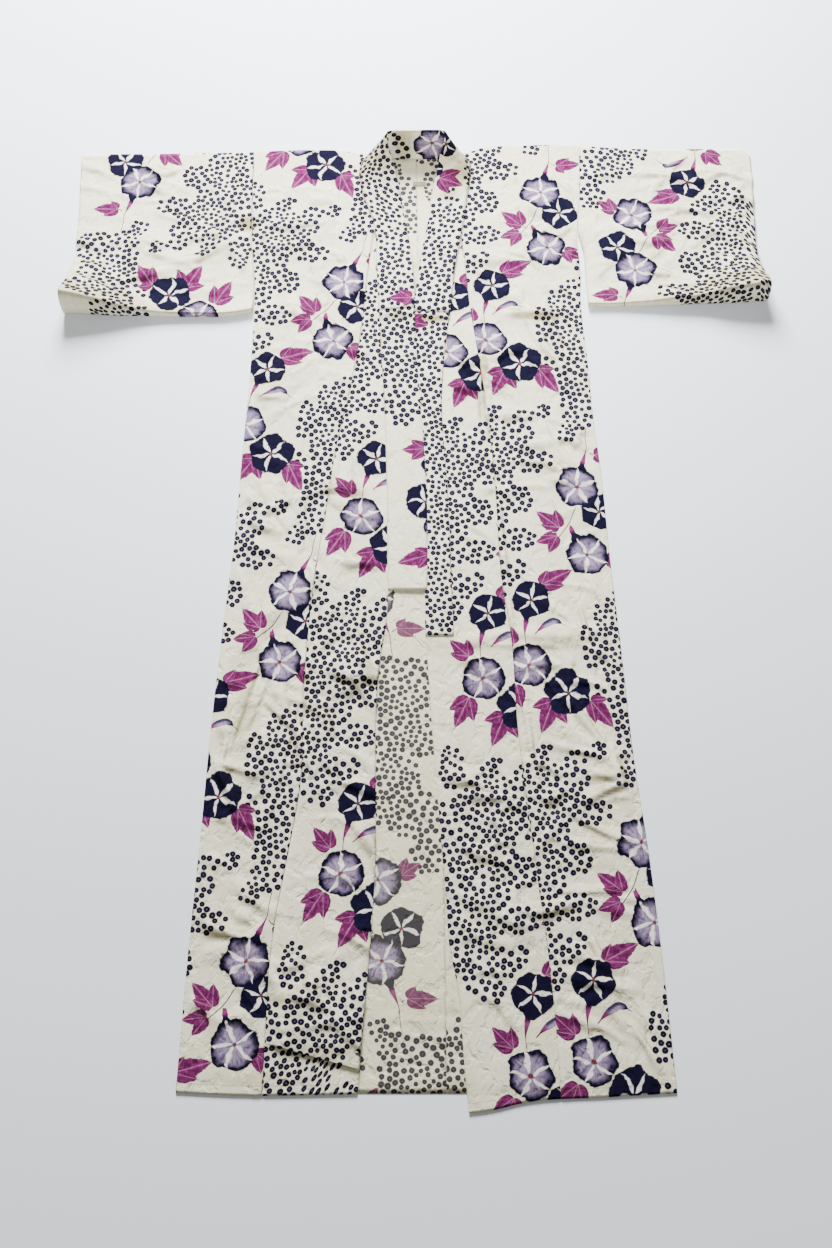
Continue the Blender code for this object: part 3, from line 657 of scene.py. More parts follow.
@dataclass(frozen=True)
class Print:
    """A charted length of the print: where its flowers, leaves, sprigs and patches of dots are."""

    light: tuple[Flower, ...]
    dark: tuple[Flower, ...]
    leaves: tuple[Leaf, ...]
    sprigs: tuple[Sprig, ...]
    patches: tuple[Patch, ...]
    repeat: float = REPEAT
    field: tuple[float, float, float, float] = (-24.0, 13.0, -16.0, -16.0 + REPEAT)
    spacing: float = 0.86
    seed: int = 5

    def _nearest(self, at: Array, middle: Pair) -> Array:
        """Places moved by whole repeats to lie nearest to a motif's middle."""
        moved = at.copy()
        shift = np.round((at[..., 1:2] - middle[1]) / self.repeat) * self.repeat
        moved[..., 1:2] -= shift
        return moved

    def _layer(self, corners: Array, motifs: Sequence[Any], middles: Sequence[Pair],
               reaches: Sequence[float], chart: Any) -> Array:
        """One layer of the print, in which each face belongs to the motif that is nearest to it.

        Args:
            corners: The corners of each face on the printed length.
            motifs: The layer's motifs.
            middles: The middle of each.
            reaches: How far each extends.
            chart: Called with a motif and places, gives the places in its frame.

        Returns:
            For each corner, its place in its motif's own frame, or a far place.
        """
        found = np.full((*corners.shape[:-1], 3), FAR)
        best = np.full(len(corners), 1.15)
        centres = corners.mean(axis=1)
        for motif, middle, reach in zip(motifs, middles, reaches):
            shift = np.round((centres[:, 1] - middle[1]) / self.repeat) * self.repeat
            place = centres - np.column_stack([np.zeros_like(shift), shift])
            share = np.linalg.norm(place - middle, axis=1) / (reach + 0.5)
            mine = share < best
            best[mine] = share[mine]
            moved = corners[mine].copy()
            moved[..., 1] -= shift[mine][:, None]
            found[mine] = chart(motif, moved)
        return found

    def layers(self, corners: Array) -> dict[str, Array]:
        """Every layer of the print for the corners of a piece's faces."""
        result = {}
        for name, flowers in (("light", self.light), ("dark", self.dark)):
            result[name] = self._layer(corners, flowers, [f.middle for f in flowers],
                                       [f.radius * 1.1 for f in flowers], lambda f, at: f.chart(at))
        middles = [leaf.middle for leaf in self.leaves]
        reaches = [leaf.reach for leaf in self.leaves]
        for k in range(3):
            result[f"lobe_{k + 1}"] = self._layer(corners, self.leaves, middles, reaches,
                                                  lambda leaf, at, k=k: leaf.lobe(k, at))
        paths = [sprig.path() for sprig in self.sprigs]
        centres = [tuple(path.mean(axis=0)) for path in paths]
        spans = [float(np.linalg.norm(path - path.mean(axis=0), axis=1).max()) + 0.4 for path in paths]
        result["sprig"] = self._layer(corners, self.sprigs, centres, spans, lambda s, at: s.chart(at))
        return result

    def thickness(self, at: Array) -> Array:
        """How thickly the dots lie at places of the printed length, from 0 to 1."""
        share = np.zeros(at.shape[:-1])
        for patch in self.patches:
            place = self._nearest(at, patch.middle)
            off = np.hypot((place[..., 0] - patch.middle[0]) / patch.half[0],
                           (place[..., 1] - patch.middle[1]) / patch.half[1])
            share = np.maximum(share, smooth(1.25, 0.75, off))
        return share

    def strewn(self) -> Array:
        """The dots of one repeat, drawn from the seed so that none lies too near another.

        Returns:
            Rows of across, along, radius and tone.
        """
        draw = np.random.default_rng(self.seed)
        left, right, low, high = self.field
        count = int((right - left) * (high - low) * TRIES)
        tries = np.column_stack([draw.uniform(left, right, count), draw.uniform(low, high, count)])
        tries = tries[self.thickness(tries) > draw.uniform(0.35, 0.65, count)]
        kept = np.empty((len(tries), 2))
        number = 0
        turn = math.tau / self.repeat
        apart = self.spacing * (1 + 0.16 * np.sin(tries[:, 0] * 0.5 + 2.0 * np.sin(tries[:, 1] * turn * 3))
                                * np.cos(tries[:, 1] * turn * 5))
        room = np.empty(len(tries))
        for place, least in zip(tries, apart):
            off = kept[:number] - place
            off[:, 1] -= np.round(off[:, 1] / self.repeat) * self.repeat
            if number == 0 or (off * off).sum(axis=1).min() > least ** 2:
                kept[number] = place
                room[number] = least
                number += 1
        radii = room[:number] * draw.uniform(0.46, 0.58, number)
        return np.column_stack([kept[:number], radii, draw.uniform(0, 1, number)])

    def dots(self, corners: Array) -> dict[str, Array]:
        """For the corners of each face, their places in the frames of the three nearest dots."""
        strewn = self.strewn()
        low = self.field[2]
        above = strewn[strewn[:, 1] < low + 3].copy()
        below = strewn[strewn[:, 1] > low + self.repeat - 3].copy()
        above[:, 1] += self.repeat
        below[:, 1] -= self.repeat
        strewn = np.vstack([strewn, above, below])
        tree = KDTree(len(strewn))
        for index, row in enumerate(strewn):
            tree.insert((row[0], row[1], 0.0), index)
        tree.balance()
        centres = corners.mean(axis=1)
        shift = np.floor((centres[:, 1] - low) / self.repeat) * self.repeat
        moved = corners.copy()
        moved[..., 1] -= shift[:, None]
        nearest = np.array([[found[1] for found in tree.find_n((x, y - s, 0.0), NEAREST_DOTS)]
                            for (x, y), s in zip(centres, shift)])
        result = {}
        for k in range(NEAREST_DOTS):
            dot = strewn[nearest[:, k]][:, None]
            local = (moved - dot[..., :2]) / dot[..., 2:3]
            tone = np.broadcast_to(dot[..., 3:4], (*moved.shape[:2], 1))
            far = np.abs(local).max(axis=(1, 2)) > FAR
            local[far] = FAR
            result[f"dot_{k + 1}"] = np.concatenate([local, tone], axis=-1)
        return result


def patches(*rows: tuple[float, float, float, float]) -> tuple[Patch, ...]:
    """Patches of dots from rows of middle and half widths."""
    return tuple(Patch((row[0], row[1]), (row[2], row[3])) for row in rows)


# The printed length, as a maker would chart it: one spray with two pale flowers, one with two dark ones
SPRAYS = Print(
    light=(Flower((0.0, 0.0), 3.6, 10), Flower((-0.1, -12.2), 3.6, 40), Flower((-12.3, -30.0), 3.5, 25)),
    dark=(Flower((3.2, -4.8), 3.3, 20), Flower((-10.4, -19.0), 3.2, 0), Flower((-7.0, -35.0), 3.7, 50)),
    leaves=(
        Leaf((3.8, 5.6), ((8.3, 5.8), (6.4, 7.2), (5.1, 3.9))),
        Leaf((-3.9, -7.0), ((-7.4, -3.7), (-4.2, -3.6), (-7.0, -6.2))),
        Leaf((-4.5, -8.4), ((-8.2, -9.2), (-6.4, -11.3), (-7.0, -8.1))),
        Leaf((3.2, -12.9), ((6.3, -14.8), (5.8, -12.8), (4.3, -15.7))),
        Leaf((-8.4, -16.6), ((-2.9, -14.6), (-7.0, -14.2), (-4.6, -17.2))),
        Leaf((-14.3, -26.2), ((-17.1, -23.0), (-14.3, -23.2), (-17.3, -25.3))),
        Leaf((-15.0, -32.8), ((-17.8, -37.6), (-18.4, -34.6), (-14.7, -36.8))),
        Leaf((-9.7, -36.2), ((-12.3, -41.1), (-13.1, -36.8), (-8.0, -40.1))),
        Leaf((-3.7, -36.7), ((-0.8, -41.5), (-3.5, -40.5), (-1.0, -36.7))),
    ),
    sprigs=(
        Sprig(Growth.CALYX, ((1.2, 3.0), (1.5, 4.2), (2.5, 6.8), (2.6, 8.6), (2.8, 10.4))),
        Sprig(Growth.STALK, ((2.5, 6.8), (3.1, 6.0), (3.9, 5.6))),
        Sprig(Growth.STALK, ((-1.0, -4.1), (-2.3, -6.5), (-4.4, -8.8))),
        Sprig(Growth.CALYX, ((-1.5, -9.2), (-1.9, -8.0), (-2.2, -6.6), (-2.4, -5.3))),
        Sprig(Growth.CALYX, ((-11.5, -21.3), (-11.8, -22.6), (-12.3, -24.4), (-12.4, -26.4))),
        Sprig(Growth.BUD, ((-11.9, -26.0), (-10.1, -24.4), (-8.9, -23.6), (-7.2, -23.0), (-5.6, -24.0))),
    ),
    patches=patches(
        (-18.5, -13.5, 3.2, 4.5), (-14.4, -14.3, 2.6, 2.2), (-16.3, -18, 2, 1.8), (-12.1, -13.6, 1.5, 1.8),
        (-11, -8.4, 2.8, 1.8), (-17, -9, 3, 2.4), (-16, -3.6, 3.8, 3.6), (-10.2, -1, 2.2, 2.6),
        (-17.5, 2, 3.4, 5), (-13.8, 3.4, 3.3, 3.4), (-11.2, 7.6, 4.4, 3), (-6.8, 5.4, 3.4, 1.8),
        (-15.8, 9, 3.8, 4), (-8.6, 11.2, 2.8, 2.4), (-13.3, 13.4, 2.2, 1.9), (-18.8, 15.6, 2, 3.4),
        (-12.3, 15.8, 1.1, 0.9), (-7.3, 14, 2.2, 1.1), (-4.4, 14.6, 1.4, 1.1), (-0.6, 10, 1.6, 1.6),
        (-2.1, 24.1, 0.9, 0.9), (-1.9, 33.7, 1.7, 1.3), (-3.6, 15.3, 1.1, 1.1), (2, 13.2, 2.6, 2.6),
        (5.6, 13.8, 2.6, 2.6), (8.1, 14.5, 2.4, 3.4), (2.4, 17.5, 3.4, 4), (4.8, 20, 5, 4),
        (1.8, 22.4, 2.6, 4.6), (5.5, 25, 6, 2.6), (2.8, 28, 3.4, 3.4), (-1, 30, 2.6, 2.2),
        (3, 31, 3.4, 3.6), (1.9, 35.5, 2.6, 3.6), (3.6, 38, 2.4, 1.6), (6, 37, 4.2, 4.4),
        (7.5, 43, 2.6, 3.5), (-22, 0, 2.6, 11), (-21.5, -12, 2, 4)),
)

# The collar's band, from its right end round the neck to its left end; past 3.5 across is its inner face
BAND_PRINT = Print(
    light=(Flower((5.7, 96.4), 3.3, 10), Flower((5.3, 11.4), 2.3, 0)),
    dark=(Flower((3.4, 15.7), 3.3, 30), Flower((2.6, 100.6), 2.3, 10), Flower((4.7, 22.4), 1.8, 0),
          Flower((4.1, 53.8), 1.3, 0), Flower((3.9, 105.4), 1.6, 40)),
    leaves=(
        Leaf((3.6, 25.4), ((-0.3, 25.2), (1.3, 27.1), (1.2, 23.3))),
        Leaf((3.9, 6.1), ((-1.4, 4.6), (1.4, 7.3), (1.9, 3.6))),
        Leaf((2.9, 54.6), ((-1.2, 55.0), (0.6, 56.5), (1.4, 53.1))),
        Leaf((3.7, 137.3), ((0.5, 138.0), (1.6, 135.9), (2.7, 139.1))),
        Leaf((2.7, 107.1), ((-1.0, 105.2), (-1.9, 108.2), (0.5, 110.0))),
    ),
    sprigs=(),
    patches=patches((0, 60, 7.5, 29), (6.5, 84, 5, 8), (-3, 100, 1.6, 8), (0, 157, 7.5, 46)),
    repeat=900.0,
    field=(-3.6, 9.8, -1.0, 216.0),
    spacing=0.88,
    seed=8,
)


Term = Union[float, int, "Value"]


class Value:
    """A socket of a material's nodes that can be used in sums."""

    def __init__(self, book: "NodeBook", socket: bpy.types.NodeSocket) -> None:
        self.book = book
        self.socket = socket

    def _sum(self, operation: str, a: Term, b: Term) -> "Value":
        """One Math node on two terms."""
        return self.book.node("ShaderNodeMath", {"operation": operation}, {0: a, 1: b})

    def __add__(self, other: Term) -> "Value":
        """This value plus another."""
        return self._sum("ADD", self, other)

    __radd__ = __add__

    def __mul__(self, other: Term) -> "Value":
        """This value times another."""
        return self._sum("MULTIPLY", self, other)

    __rmul__ = __mul__

    def __sub__(self, other: Term) -> "Value":
        """This value less another."""
        return self._sum("SUBTRACT", self, other)

    def __rsub__(self, other: Term) -> "Value":
        """Another value less this one."""
        return self._sum("SUBTRACT", other, self)

    def __truediv__(self, other: Term) -> "Value":
        """This value divided by another."""
        return self._sum("DIVIDE", self, other)

    def __rtruediv__(self, other: Term) -> "Value":
        """Another value divided by this one."""
        return self._sum("DIVIDE", other, self)

    def __pow__(self, other: Term) -> "Value":
        """This value raised to a power."""
        return self._sum("POWER", self, other)

    def __rpow__(self, other: Term) -> "Value":
        """Another value raised to the power of this one."""
        return self._sum("POWER", other, self)

    def __abs__(self) -> "Value":
        """This value without its sign."""
        return self.book.node("ShaderNodeMath", {"operation": "ABSOLUTE"}, {0: self})


class NodeBook:
    """The nodes of one material, written as expressions."""

    def __init__(self, material: bpy.types.Material) -> None:
        material.use_nodes = True
        self.tree = material.node_tree
        self.tree.nodes.clear()

    def node(self, kind: str, settings: dict[str, Any], values: dict[Any, Any], output: Any = 0) -> Value:
        """Add a node.

        Args:
            kind: The node's type.
            settings: Its settings, set before anything else; "stops" fills a colour ramp.
            values: What goes into its sockets, by index or name: links or plain values.
            output: The socket to return.

        Returns:
            The chosen output.
        """
        made = self.tree.nodes.new(kind)
        for name, setting in settings.items():
            if name == "stops":
                ramp = made.color_ramp.elements
                while len(ramp) < len(setting):
                    ramp.new(1.0)
                for element, (place, colour) in zip(ramp, setting):
                    element.position = place
                    element.color = colour
            else:
                setattr(made, name, setting)
        for key, value in values.items():
            if isinstance(value, Value):
                self.tree.links.new(value.socket, made.inputs[key])
            else:
                made.inputs[key].default_value = value
        return Value(self, made.outputs[output]) if output is not None else None

    def maths(self, operation: str, *terms: Term) -> Value:
        """A Math node on any terms."""
        return self.node("ShaderNodeMath", {"operation": operation}, dict(enumerate(terms)))

    def step(self, value: Value, low: float, high: float) -> Value:
        """An even curve from 0 at low to 1 at high."""
        return self.node("ShaderNodeMapRange", {"interpolation_type": "SMOOTHSTEP"},
                         {"Value": value, "From Min": low, "From Max": high})

    def greater(self, a: Term, b: Term) -> Value:
        """The greater of two values."""
        return self.maths("MAXIMUM", a, b)

    def less(self, a: Term, b: Term) -> Value:
        """The lesser of two values."""
        return self.maths("MINIMUM", a, b)

    def blend(self, share: Term, low: Any, high: Any) -> Value:
        """A colour part of the way from one to another."""
        return self.node("ShaderNodeMix", {"data_type": "RGBA"}, {0: share, 6: low, 7: high}, 2)

    def tinted(self, colour: Value, tint: "Colour", share: Term = 1.0) -> Value:
        """A colour times a tint, in full or in part."""
        settings = {"data_type": "RGBA", "blend_type": "MULTIPLY"}
        return self.node("ShaderNodeMix", settings, {0: share, 6: colour, 7: tint}, 2)

    def finish(self, shader: Value) -> None:
        """Join the shader to the material's output."""
        self.node("ShaderNodeOutputMaterial", {}, {"Surface": shader}, None)

    def parts(self, vector: Value) -> tuple[Value, Value, Value]:
        """The three numbers of a vector."""
        made = self.node("ShaderNodeSeparateXYZ", {}, {0: vector})
        outputs = made.socket.node.outputs
        return Value(self, outputs[0]), Value(self, outputs[1]), Value(self, outputs[2])

    def vector(self, x: Term, y: Term, z: Term = 0.0) -> Value:
        """A vector from three numbers."""
        return self.node("ShaderNodeCombineXYZ", {}, {0: x, 1: y, 2: z})

    def attribute(self, name: str) -> Value:
        """A vector that the mesh carries."""
        return self.node("ShaderNodeAttribute", {"attribute_name": name}, {}, "Vector")

    def noise(self, where: Value, scale: float, detail: float = 2.0, rough: float = 0.5) -> Value:
        """Soft noise, about 0.5 in the mean."""
        return self.node("ShaderNodeTexNoise", {}, {"Vector": where, "Scale": scale, "Detail": detail,
                                                    "Roughness": rough}, 0)


Colour = tuple[float, float, float, float]


def rgb(red: float, green: float, blue: float) -> Colour:
    """An opaque colour."""
    return red, green, blue, 1.0


@dataclass(frozen=True)
class Inks:
    """The print's colours."""

    ground: Colour = rgb(0.84, 0.80, 0.60)
    warm: Colour = rgb(0.74, 0.66, 0.41)
    dot: Colour = rgb(0.004, 0.0033, 0.014)
    dot_worn: Colour = rgb(0.013, 0.010, 0.034)
    dot_pale: Colour = rgb(0.14, 0.11, 0.19)
    haze: Colour = rgb(0.52, 0.46, 0.60)
    navy: Colour = rgb(0.0055, 0.0042, 0.018)
    navy_worn: Colour = rgb(0.014, 0.011, 0.040)
    petal: Colour = rgb(0.087, 0.058, 0.126)
    petal_pale: Colour = rgb(0.275, 0.21, 0.31)
    rim: Colour = rgb(0.003, 0.0025, 0.014)
    ray: Colour = rgb(0.78, 0.74, 0.68)
    heart: Colour = rgb(0.13, 0.03, 0.035)
    leaf: Colour = rgb(0.092, 0.0075, 0.055)
    leaf_pale: Colour = rgb(0.215, 0.037, 0.138)
    vein: Colour = rgb(0.40, 0.17, 0.28)
    stem: Colour = rgb(0.055, 0.008, 0.037)


@dataclass(frozen=True)
class PrintedCotton:
    """Plain-weave cotton with the stencil print, on its face or, paler, on its reverse."""

    name: str
    inks: Inks = field(default_factory=Inks)
    reverse: bool = False
    tint: Colour = rgb(1.0, 1.0, 1.0)
    roughness: float = 0.88
    sheen: float = 0.015
    gloss: float = 0.03

    def material(self) -> bpy.types.Material:
        """Build the material.

        Returns:
            The finished material.
        """
        made = bpy.data.materials.new(self.name)
        book = NodeBook(made)
        across, along, thick = book.parts(book.attribute("cloth"))
        flat = book.vector(across, along)
        mottle = book.noise(flat, 1.7, 4.0, 0.65)
        brush = book.noise(book.vector(across * 2.2, along * 0.7), 1.3, 3.0, 0.6)
        colour = self._ground(book, flat)
        colour = self._dots(book, colour, thick, mottle)
        colour = self._sprigs(book, colour, mottle)
        colour = self._leaves(book, colour, mottle, brush)
        colour = self._dark(book, colour, mottle)
        colour = self._light(book, colour, mottle, brush)
        colour = self._threads_colour(book, colour, across, along)
        if self.reverse:
            colour = book.blend(0.05, colour, self.inks.ground)
        else:
            colour = self._stitches(book, colour)
        # Painted shade, and one real stain, as a beige tint.
        colour = self._tint_shade_and_stain(book, colour, flat)
        colour = book.tinted(colour, self.tint)
        rough = book.noise(flat, 9.0, 2.0) * 0.12 + (self.roughness - 0.06)
        normal = self._relief(book, across, along, flat)
        shader = book.node("ShaderNodeBsdfPrincipled", {}, {
            "Base Color": colour, "Roughness": rough, "Normal": normal, "Sheen Weight": self.sheen,
            "Sheen Roughness": 0.5, "Specular IOR Level": self.gloss})
        book.finish(shader)
        return made

    def _ground(self, book: NodeBook, flat: Value) -> Value:
        """The unprinted cloth, a little uneven in its warmth."""
        cloudy = book.noise(flat, 0.10, 3.0, 0.6)
        blotches = book.noise(flat, 0.55, 4.0, 0.65)
        share = book.step(cloudy, 0.35, 0.75) * 0.4 + book.step(blotches, 0.42, 0.75) * 0.5
        return book.blend(share, self.inks.ground, self.inks.warm)

    def _dots(self, book: NodeBook, under: Value, thick: Value, mottle: Value) -> Value:
        """Small soft rings with paler centres, each at its own place."""
        discs: Term = 0.0
        hollows: Term = 0.0
        tones: Term = 0.0
        for k in (1, 2, 3):
            x, y, tone = book.parts(book.attribute(f"dot_{k}"))
            off = book.maths("SQRT", x * x + y * y) + (mottle - 0.5) * 0.5
            disc = 1.0 - book.step(off, 0.80, 1.12)
            discs = book.greater(discs, disc)
            hollows = book.greater(hollows, 1.0 - book.step(off, 0.06, 0.34))
            tones = book.greater(tones, disc * tone)
        ink = book.blend(book.step(tones, 0.5, 1.0) * 0.6, self.inks.dot, self.inks.dot_worn)
        ink = book.blend(hollows * 0.6, ink, self.inks.dot_pale)
        hazy = book.blend(book.step(thick, 0.3, 1.0) * 0.10, under, self.inks.haze)
        return book.blend(discs, hazy, ink)

    def _sprigs(self, book: NodeBook, under: Value, mottle: Value) -> Value:
        """Calyxes with their stems, buds and stalks."""
        along, off, kind = book.parts(book.attribute("sprig"))
        share = along / 8.0

        def width(stops: Sequence[Pair]) -> Value:
            """Half widths along a motif, from places and half widths."""
            ramp = [(place, rgb(half, half, half)) for place, half in stops]
            return book.node("ShaderNodeValToRGB", {"stops": ramp}, {0: share})

        calyx = width(((0.0, 1.0), (0.05, 0.72), (0.10, 0.46), (0.14, 0.38), (0.155, 0.47), (0.25, 0.34),
                       (0.40, 0.12), (0.48, 0.06), (1.0, 0.055)))
        bud = width(((0.0, 0.06), (0.28, 0.10), (0.38, 0.32), (0.50, 0.54), (0.66, 0.60), (0.80, 0.42),
                     (0.87, 0.05)))
        plain = rgb(0.075, 0.075, 0.075)
        half = book.blend(book.step(kind, 0.3, 0.7), calyx, bud)
        half = book.blend(book.step(kind, 1.3, 1.7), half, plain)
        half = book.node("ShaderNodeSeparateColor", {}, {0: half})
        calyx_ink = book.node("ShaderNodeValToRGB", {"stops": [
            (0.0, self.inks.navy), (0.125, self.inks.navy), (0.16, self.inks.leaf),
            (0.22, self.inks.leaf_pale), (0.40, self.inks.leaf), (1.0, self.inks.stem)]}, {0: share})
        bud_ink = book.node("ShaderNodeValToRGB", {"stops": [
            (0.0, self.inks.stem), (0.30, self.inks.leaf), (0.42, self.inks.leaf_pale),
            (0.50, self.inks.petal_pale), (0.70, self.inks.petal_pale),
            (0.82, self.inks.navy)]}, {0: share})
        outline = book.step(off + half * 0.35 + (mottle - 0.5) * 0.3, 0.0, 0.45)
        outline = outline * book.step(share, 0.36, 0.5)
        bud_ink = book.blend(outline * 0.9, bud_ink, self.inks.navy_worn)
        ink = book.blend(book.step(kind, 0.3, 0.7), calyx_ink, bud_ink)
        ink = book.blend(book.step(kind, 1.3, 1.7), ink, self.inks.stem)
        inside = 1.0 - book.step(abs(off) + (mottle - 0.5) * 0.12 - half, -0.03, 0.04)
        return book.blend(inside, under, ink)

    def _leaves(self, book: NodeBook, under: Value, mottle: Value, brush: Value) -> Value:
        """Leaves of three pointed lobes with light veins."""
        inside: Term = 0.0
        veins: Term = 0.0
        streaks: Term = 0.0
        for k in (1, 2, 3):
            along, across, length = book.parts(book.attribute(f"lobe_{k}"))
            held = book.less(book.greater(along, 0.0), 1.0)
            half = (held ** 0.5) * (1.0 - held) * 2.6
            edge = abs(across) + (mottle - 0.5) * 0.45 - half
            body = (1.0 - book.step(edge, -0.06, 0.05)) * book.step(along, -0.02, 0.03)
            rib = 1.0 - book.step(abs(across) + (mottle - 0.5) * 0.08, 0.02, 0.09)
            fanned = abs(across) / (half + 0.15)
            streak = book.noise(book.vector(along * length * 8.0, fanned * 4.5, float(k)), 1.0, 3.0, 0.65)
            inside = book.greater(inside, body)
            streaks = book.greater(streaks, streak * body)
            veins = book.greater(veins, rib * body)
        pale = book.step(streaks * 0.7 + brush * 0.3, 0.42, 0.66)
        ink = book.blend(pale, self.inks.leaf, self.inks.leaf_pale)
        ink = book.blend(veins * 0.6, ink, self.inks.vein)
        return book.blend(inside, under, ink)

    def _petals(self, book: NodeBook, name: str, mottle: Value, lobing: float,
                ray_half: float, ray_end: float) -> tuple[Value, Value, Value, Value]:
        """A flower's shapes: its disc, its rays, its heart and the distance from its middle.

        Args:
            book: The material's nodes.
            name: The layer of flowers.
            mottle: Soft noise that makes the edges uneven.
            lobing: How far the five petals bulge.
            ray_half: The rays' half width.
            ray_end: How far out the rays reach.

        Returns:
            The disc, rays and heart, from 0 to 1, and the distance.
        """
        x, y, _ = book.parts(book.attribute(name))
        across, along, _ = book.parts(book.attribute("cloth"))
        x = x + (book.noise(book.vector(across, along, 3.0), 0.42, 2.0) - 0.5) * 0.55
        y = y + (book.noise(book.vector(across, along, 8.0), 0.42, 2.0) - 0.5) * 0.55
        radius = book.maths("SQRT", x * x + y * y)
        angle = book.maths("ARCTAN2", y, x)
        petals = math.tau / 5
        turned = book.maths("WRAP", angle, petals / 2, -petals / 2)
        rim = 1.0 + lobing * book.maths("COSINE", angle * 5.0 + math.pi)
        disc = 1.0 - book.step(radius / rim + (mottle - 0.5) * 0.14, 0.96, 1.02)
        out = radius * book.maths("COSINE", turned)
        off = abs(radius * book.maths("SINE", turned))
        reach = book.less(book.greater((out - 0.07) / ray_end, 0.0), 1.0)
        lens = book.maths("SINE", (reach ** 0.75) * math.pi) * ray_half
        rays = 1.0 - book.step(off - lens + (mottle - 0.5) * 0.07, -0.035, 0.015)
        rays = rays * book.step(reach, 0.0, 0.04) * book.step(reach, 1.0, 0.95)
        heart = 1.0 - book.step(radius + (mottle - 0.5) * 0.12, 0.06, 0.11)
        return disc, rays, heart, radius / rim

    def _dark(self, book: NodeBook, under: Value, mottle: Value) -> Value:
        """Navy flowers with cream rays."""
        disc, rays, heart, _ = self._petals(book, "dark", mottle, 0.045, 0.10, 0.84)
        ink = book.blend(book.step(mottle, 0.55, 0.8) * 0.5, self.inks.navy, self.inks.navy_worn)
        ink = book.blend(rays, ink, self.inks.ray)
        ink = book.blend(heart, ink, self.inks.heart)
        return book.blend(disc, under, ink)

    def _light(self, book: NodeBook, under: Value, mottle: Value, brush: Value) -> Value:
        """Lavender flowers with an indigo rim and pale rays."""
        disc, rays, heart, radius = self._petals(book, "light", mottle, 0.03, 0.095, 0.95)
        x, y, _ = book.parts(book.attribute("light"))
        streaks = book.noise(book.vector(book.maths("ARCTAN2", y, x) * 4.0, radius * 1.2), 1.0, 2.0, 0.5)
        pale = book.step(brush * 0.4 + streaks * 0.6 - radius * 0.12, 0.28, 0.52)
        ink = book.blend(pale, self.inks.petal, self.inks.petal_pale)
        edge = book.step(radius + (streaks - 0.5) * 0.45 + (brush - 0.5) * 0.25, 0.63, 0.91)
        ink = book.blend(edge, ink, self.inks.rim)
        ink = book.blend(rays, ink, self.inks.ray)
        ink = book.blend(heart, ink, self.inks.heart)
        return book.blend(disc, under, ink)

    def _threads_colour(self, book: NodeBook, under: Value, across: Value, along: Value) -> Value:
        """Slightly uneven threads both ways."""
        warp = book.noise(book.vector(across * 14.0, along * 0.6), 1.0, 1.0)
        weft = book.noise(book.vector(across * 0.6, along * 14.0), 1.0, 1.0)
        slubs = book.noise(book.vector(across * 2.2, along * 2.2), 2.5, 4.0, 0.7)
        share = book.step(warp + weft + slubs, 1.1, 1.9)
        return book.tinted(under, rgb(0.80, 0.78, 0.72), share * 0.9)

    def _stitches(self, book: NodeBook, under: Value) -> Value:
        """The hem's sewn line, and a faint shade along the seams."""
        hem, seam, _ = book.parts(book.attribute("edges"))
        line = 1.0 - book.step(abs(hem - 1.3), 0.03, 0.10)
        sewn = 1.0 - book.step(seam, 0.0, 0.35)
        shade = book.greater(line * 0.8, sewn * 0.5)
        return book.tinted(under, rgb(0.62, 0.57, 0.50), shade)

    def _tint_shade_and_stain(self, book: NodeBook, under: Value, flat: Value) -> Value:
        """A beige tint with uneven borders: painted shade on the steep sides of creases and in patches, and
        one real stain.
        """
        _, _, shade_and_stain = book.parts(book.attribute("edges"))
        uneven = book.noise(flat, 0.8, 4.0, 0.6)
        share = book.step(shade_and_stain + (uneven - 0.5) * 0.5, 0.05, 0.95)
        # The beige tint is mostly painted shade; only the stain patch by the right armhole is real.
        return book.tinted(under, rgb(0.44, 0.39, 0.28), share)

    def _relief(self, book: NodeBook, across: Value, along: Value, flat: Value) -> Value:
        """The weave, its uneven threads and the cloth's small crumples."""
        count = math.tau / 0.07
        warp = book.maths("SINE", across * count)
        weft = book.maths("SINE", along * count)
        weave = warp * weft * 0.5
        slubs = book.noise(book.vector(across * 10.0, along * 1.1), 1.0, 2.0)
        slubs = slubs + book.noise(book.vector(across * 1.1, along * 10.0), 1.0, 2.0)
        threads = book.node("ShaderNodeBump", {}, {"Strength": 0.35, "Distance": 0.05 * MM,
                                                   "Height": weave + slubs})
        drift = book.noise(flat, 0.35, 2.0)
        crumple = book.noise(book.vector(across * 0.6 + drift * 2.0, along * 0.35 + drift), 1.0, 3.0, 0.5)
        ridges = 1.0 - abs(crumple - 0.5) * 4.0
        return book.node("ShaderNodeBump", {}, {"Strength": 1.0, "Distance": 2.6 * MM,
                                                "Height": ridges * 0.35 + crumple, "Normal": threads})


@dataclass(frozen=True)
class TagTape:
    """A beige woven tape."""

    name: str = "woven tape"
    colour: Colour = rgb(0.22, 0.19, 0.10)
    pale: Colour = rgb(0.34, 0.30, 0.17)

    def material(self) -> bpy.types.Material:
        """Build the material."""
        made = bpy.data.materials.new(self.name)
        book = NodeBook(made)
        across, along, _ = book.parts(book.attribute("cloth"))
        ribs = book.maths("SINE", across * (math.tau / 0.05))
        weft = book.maths("SINE", along * (math.tau / 0.06))
        uneven = book.noise(book.vector(across, along), 6.0, 3.0)
        colour = book.blend(book.step(uneven + ribs * 0.15, 0.35, 0.75), self.colour, self.pale)
        normal = book.node("ShaderNodeBump", {}, {"Strength": 0.6, "Distance": 0.08 * MM,
                                                  "Height": ribs * weft})
        shader = book.node("ShaderNodeBsdfPrincipled", {}, {
            "Base Color": colour, "Roughness": uneven * 0.2 + 0.65, "Normal": normal, "Sheen Weight": 0.05})
        book.finish(shader)
        return made


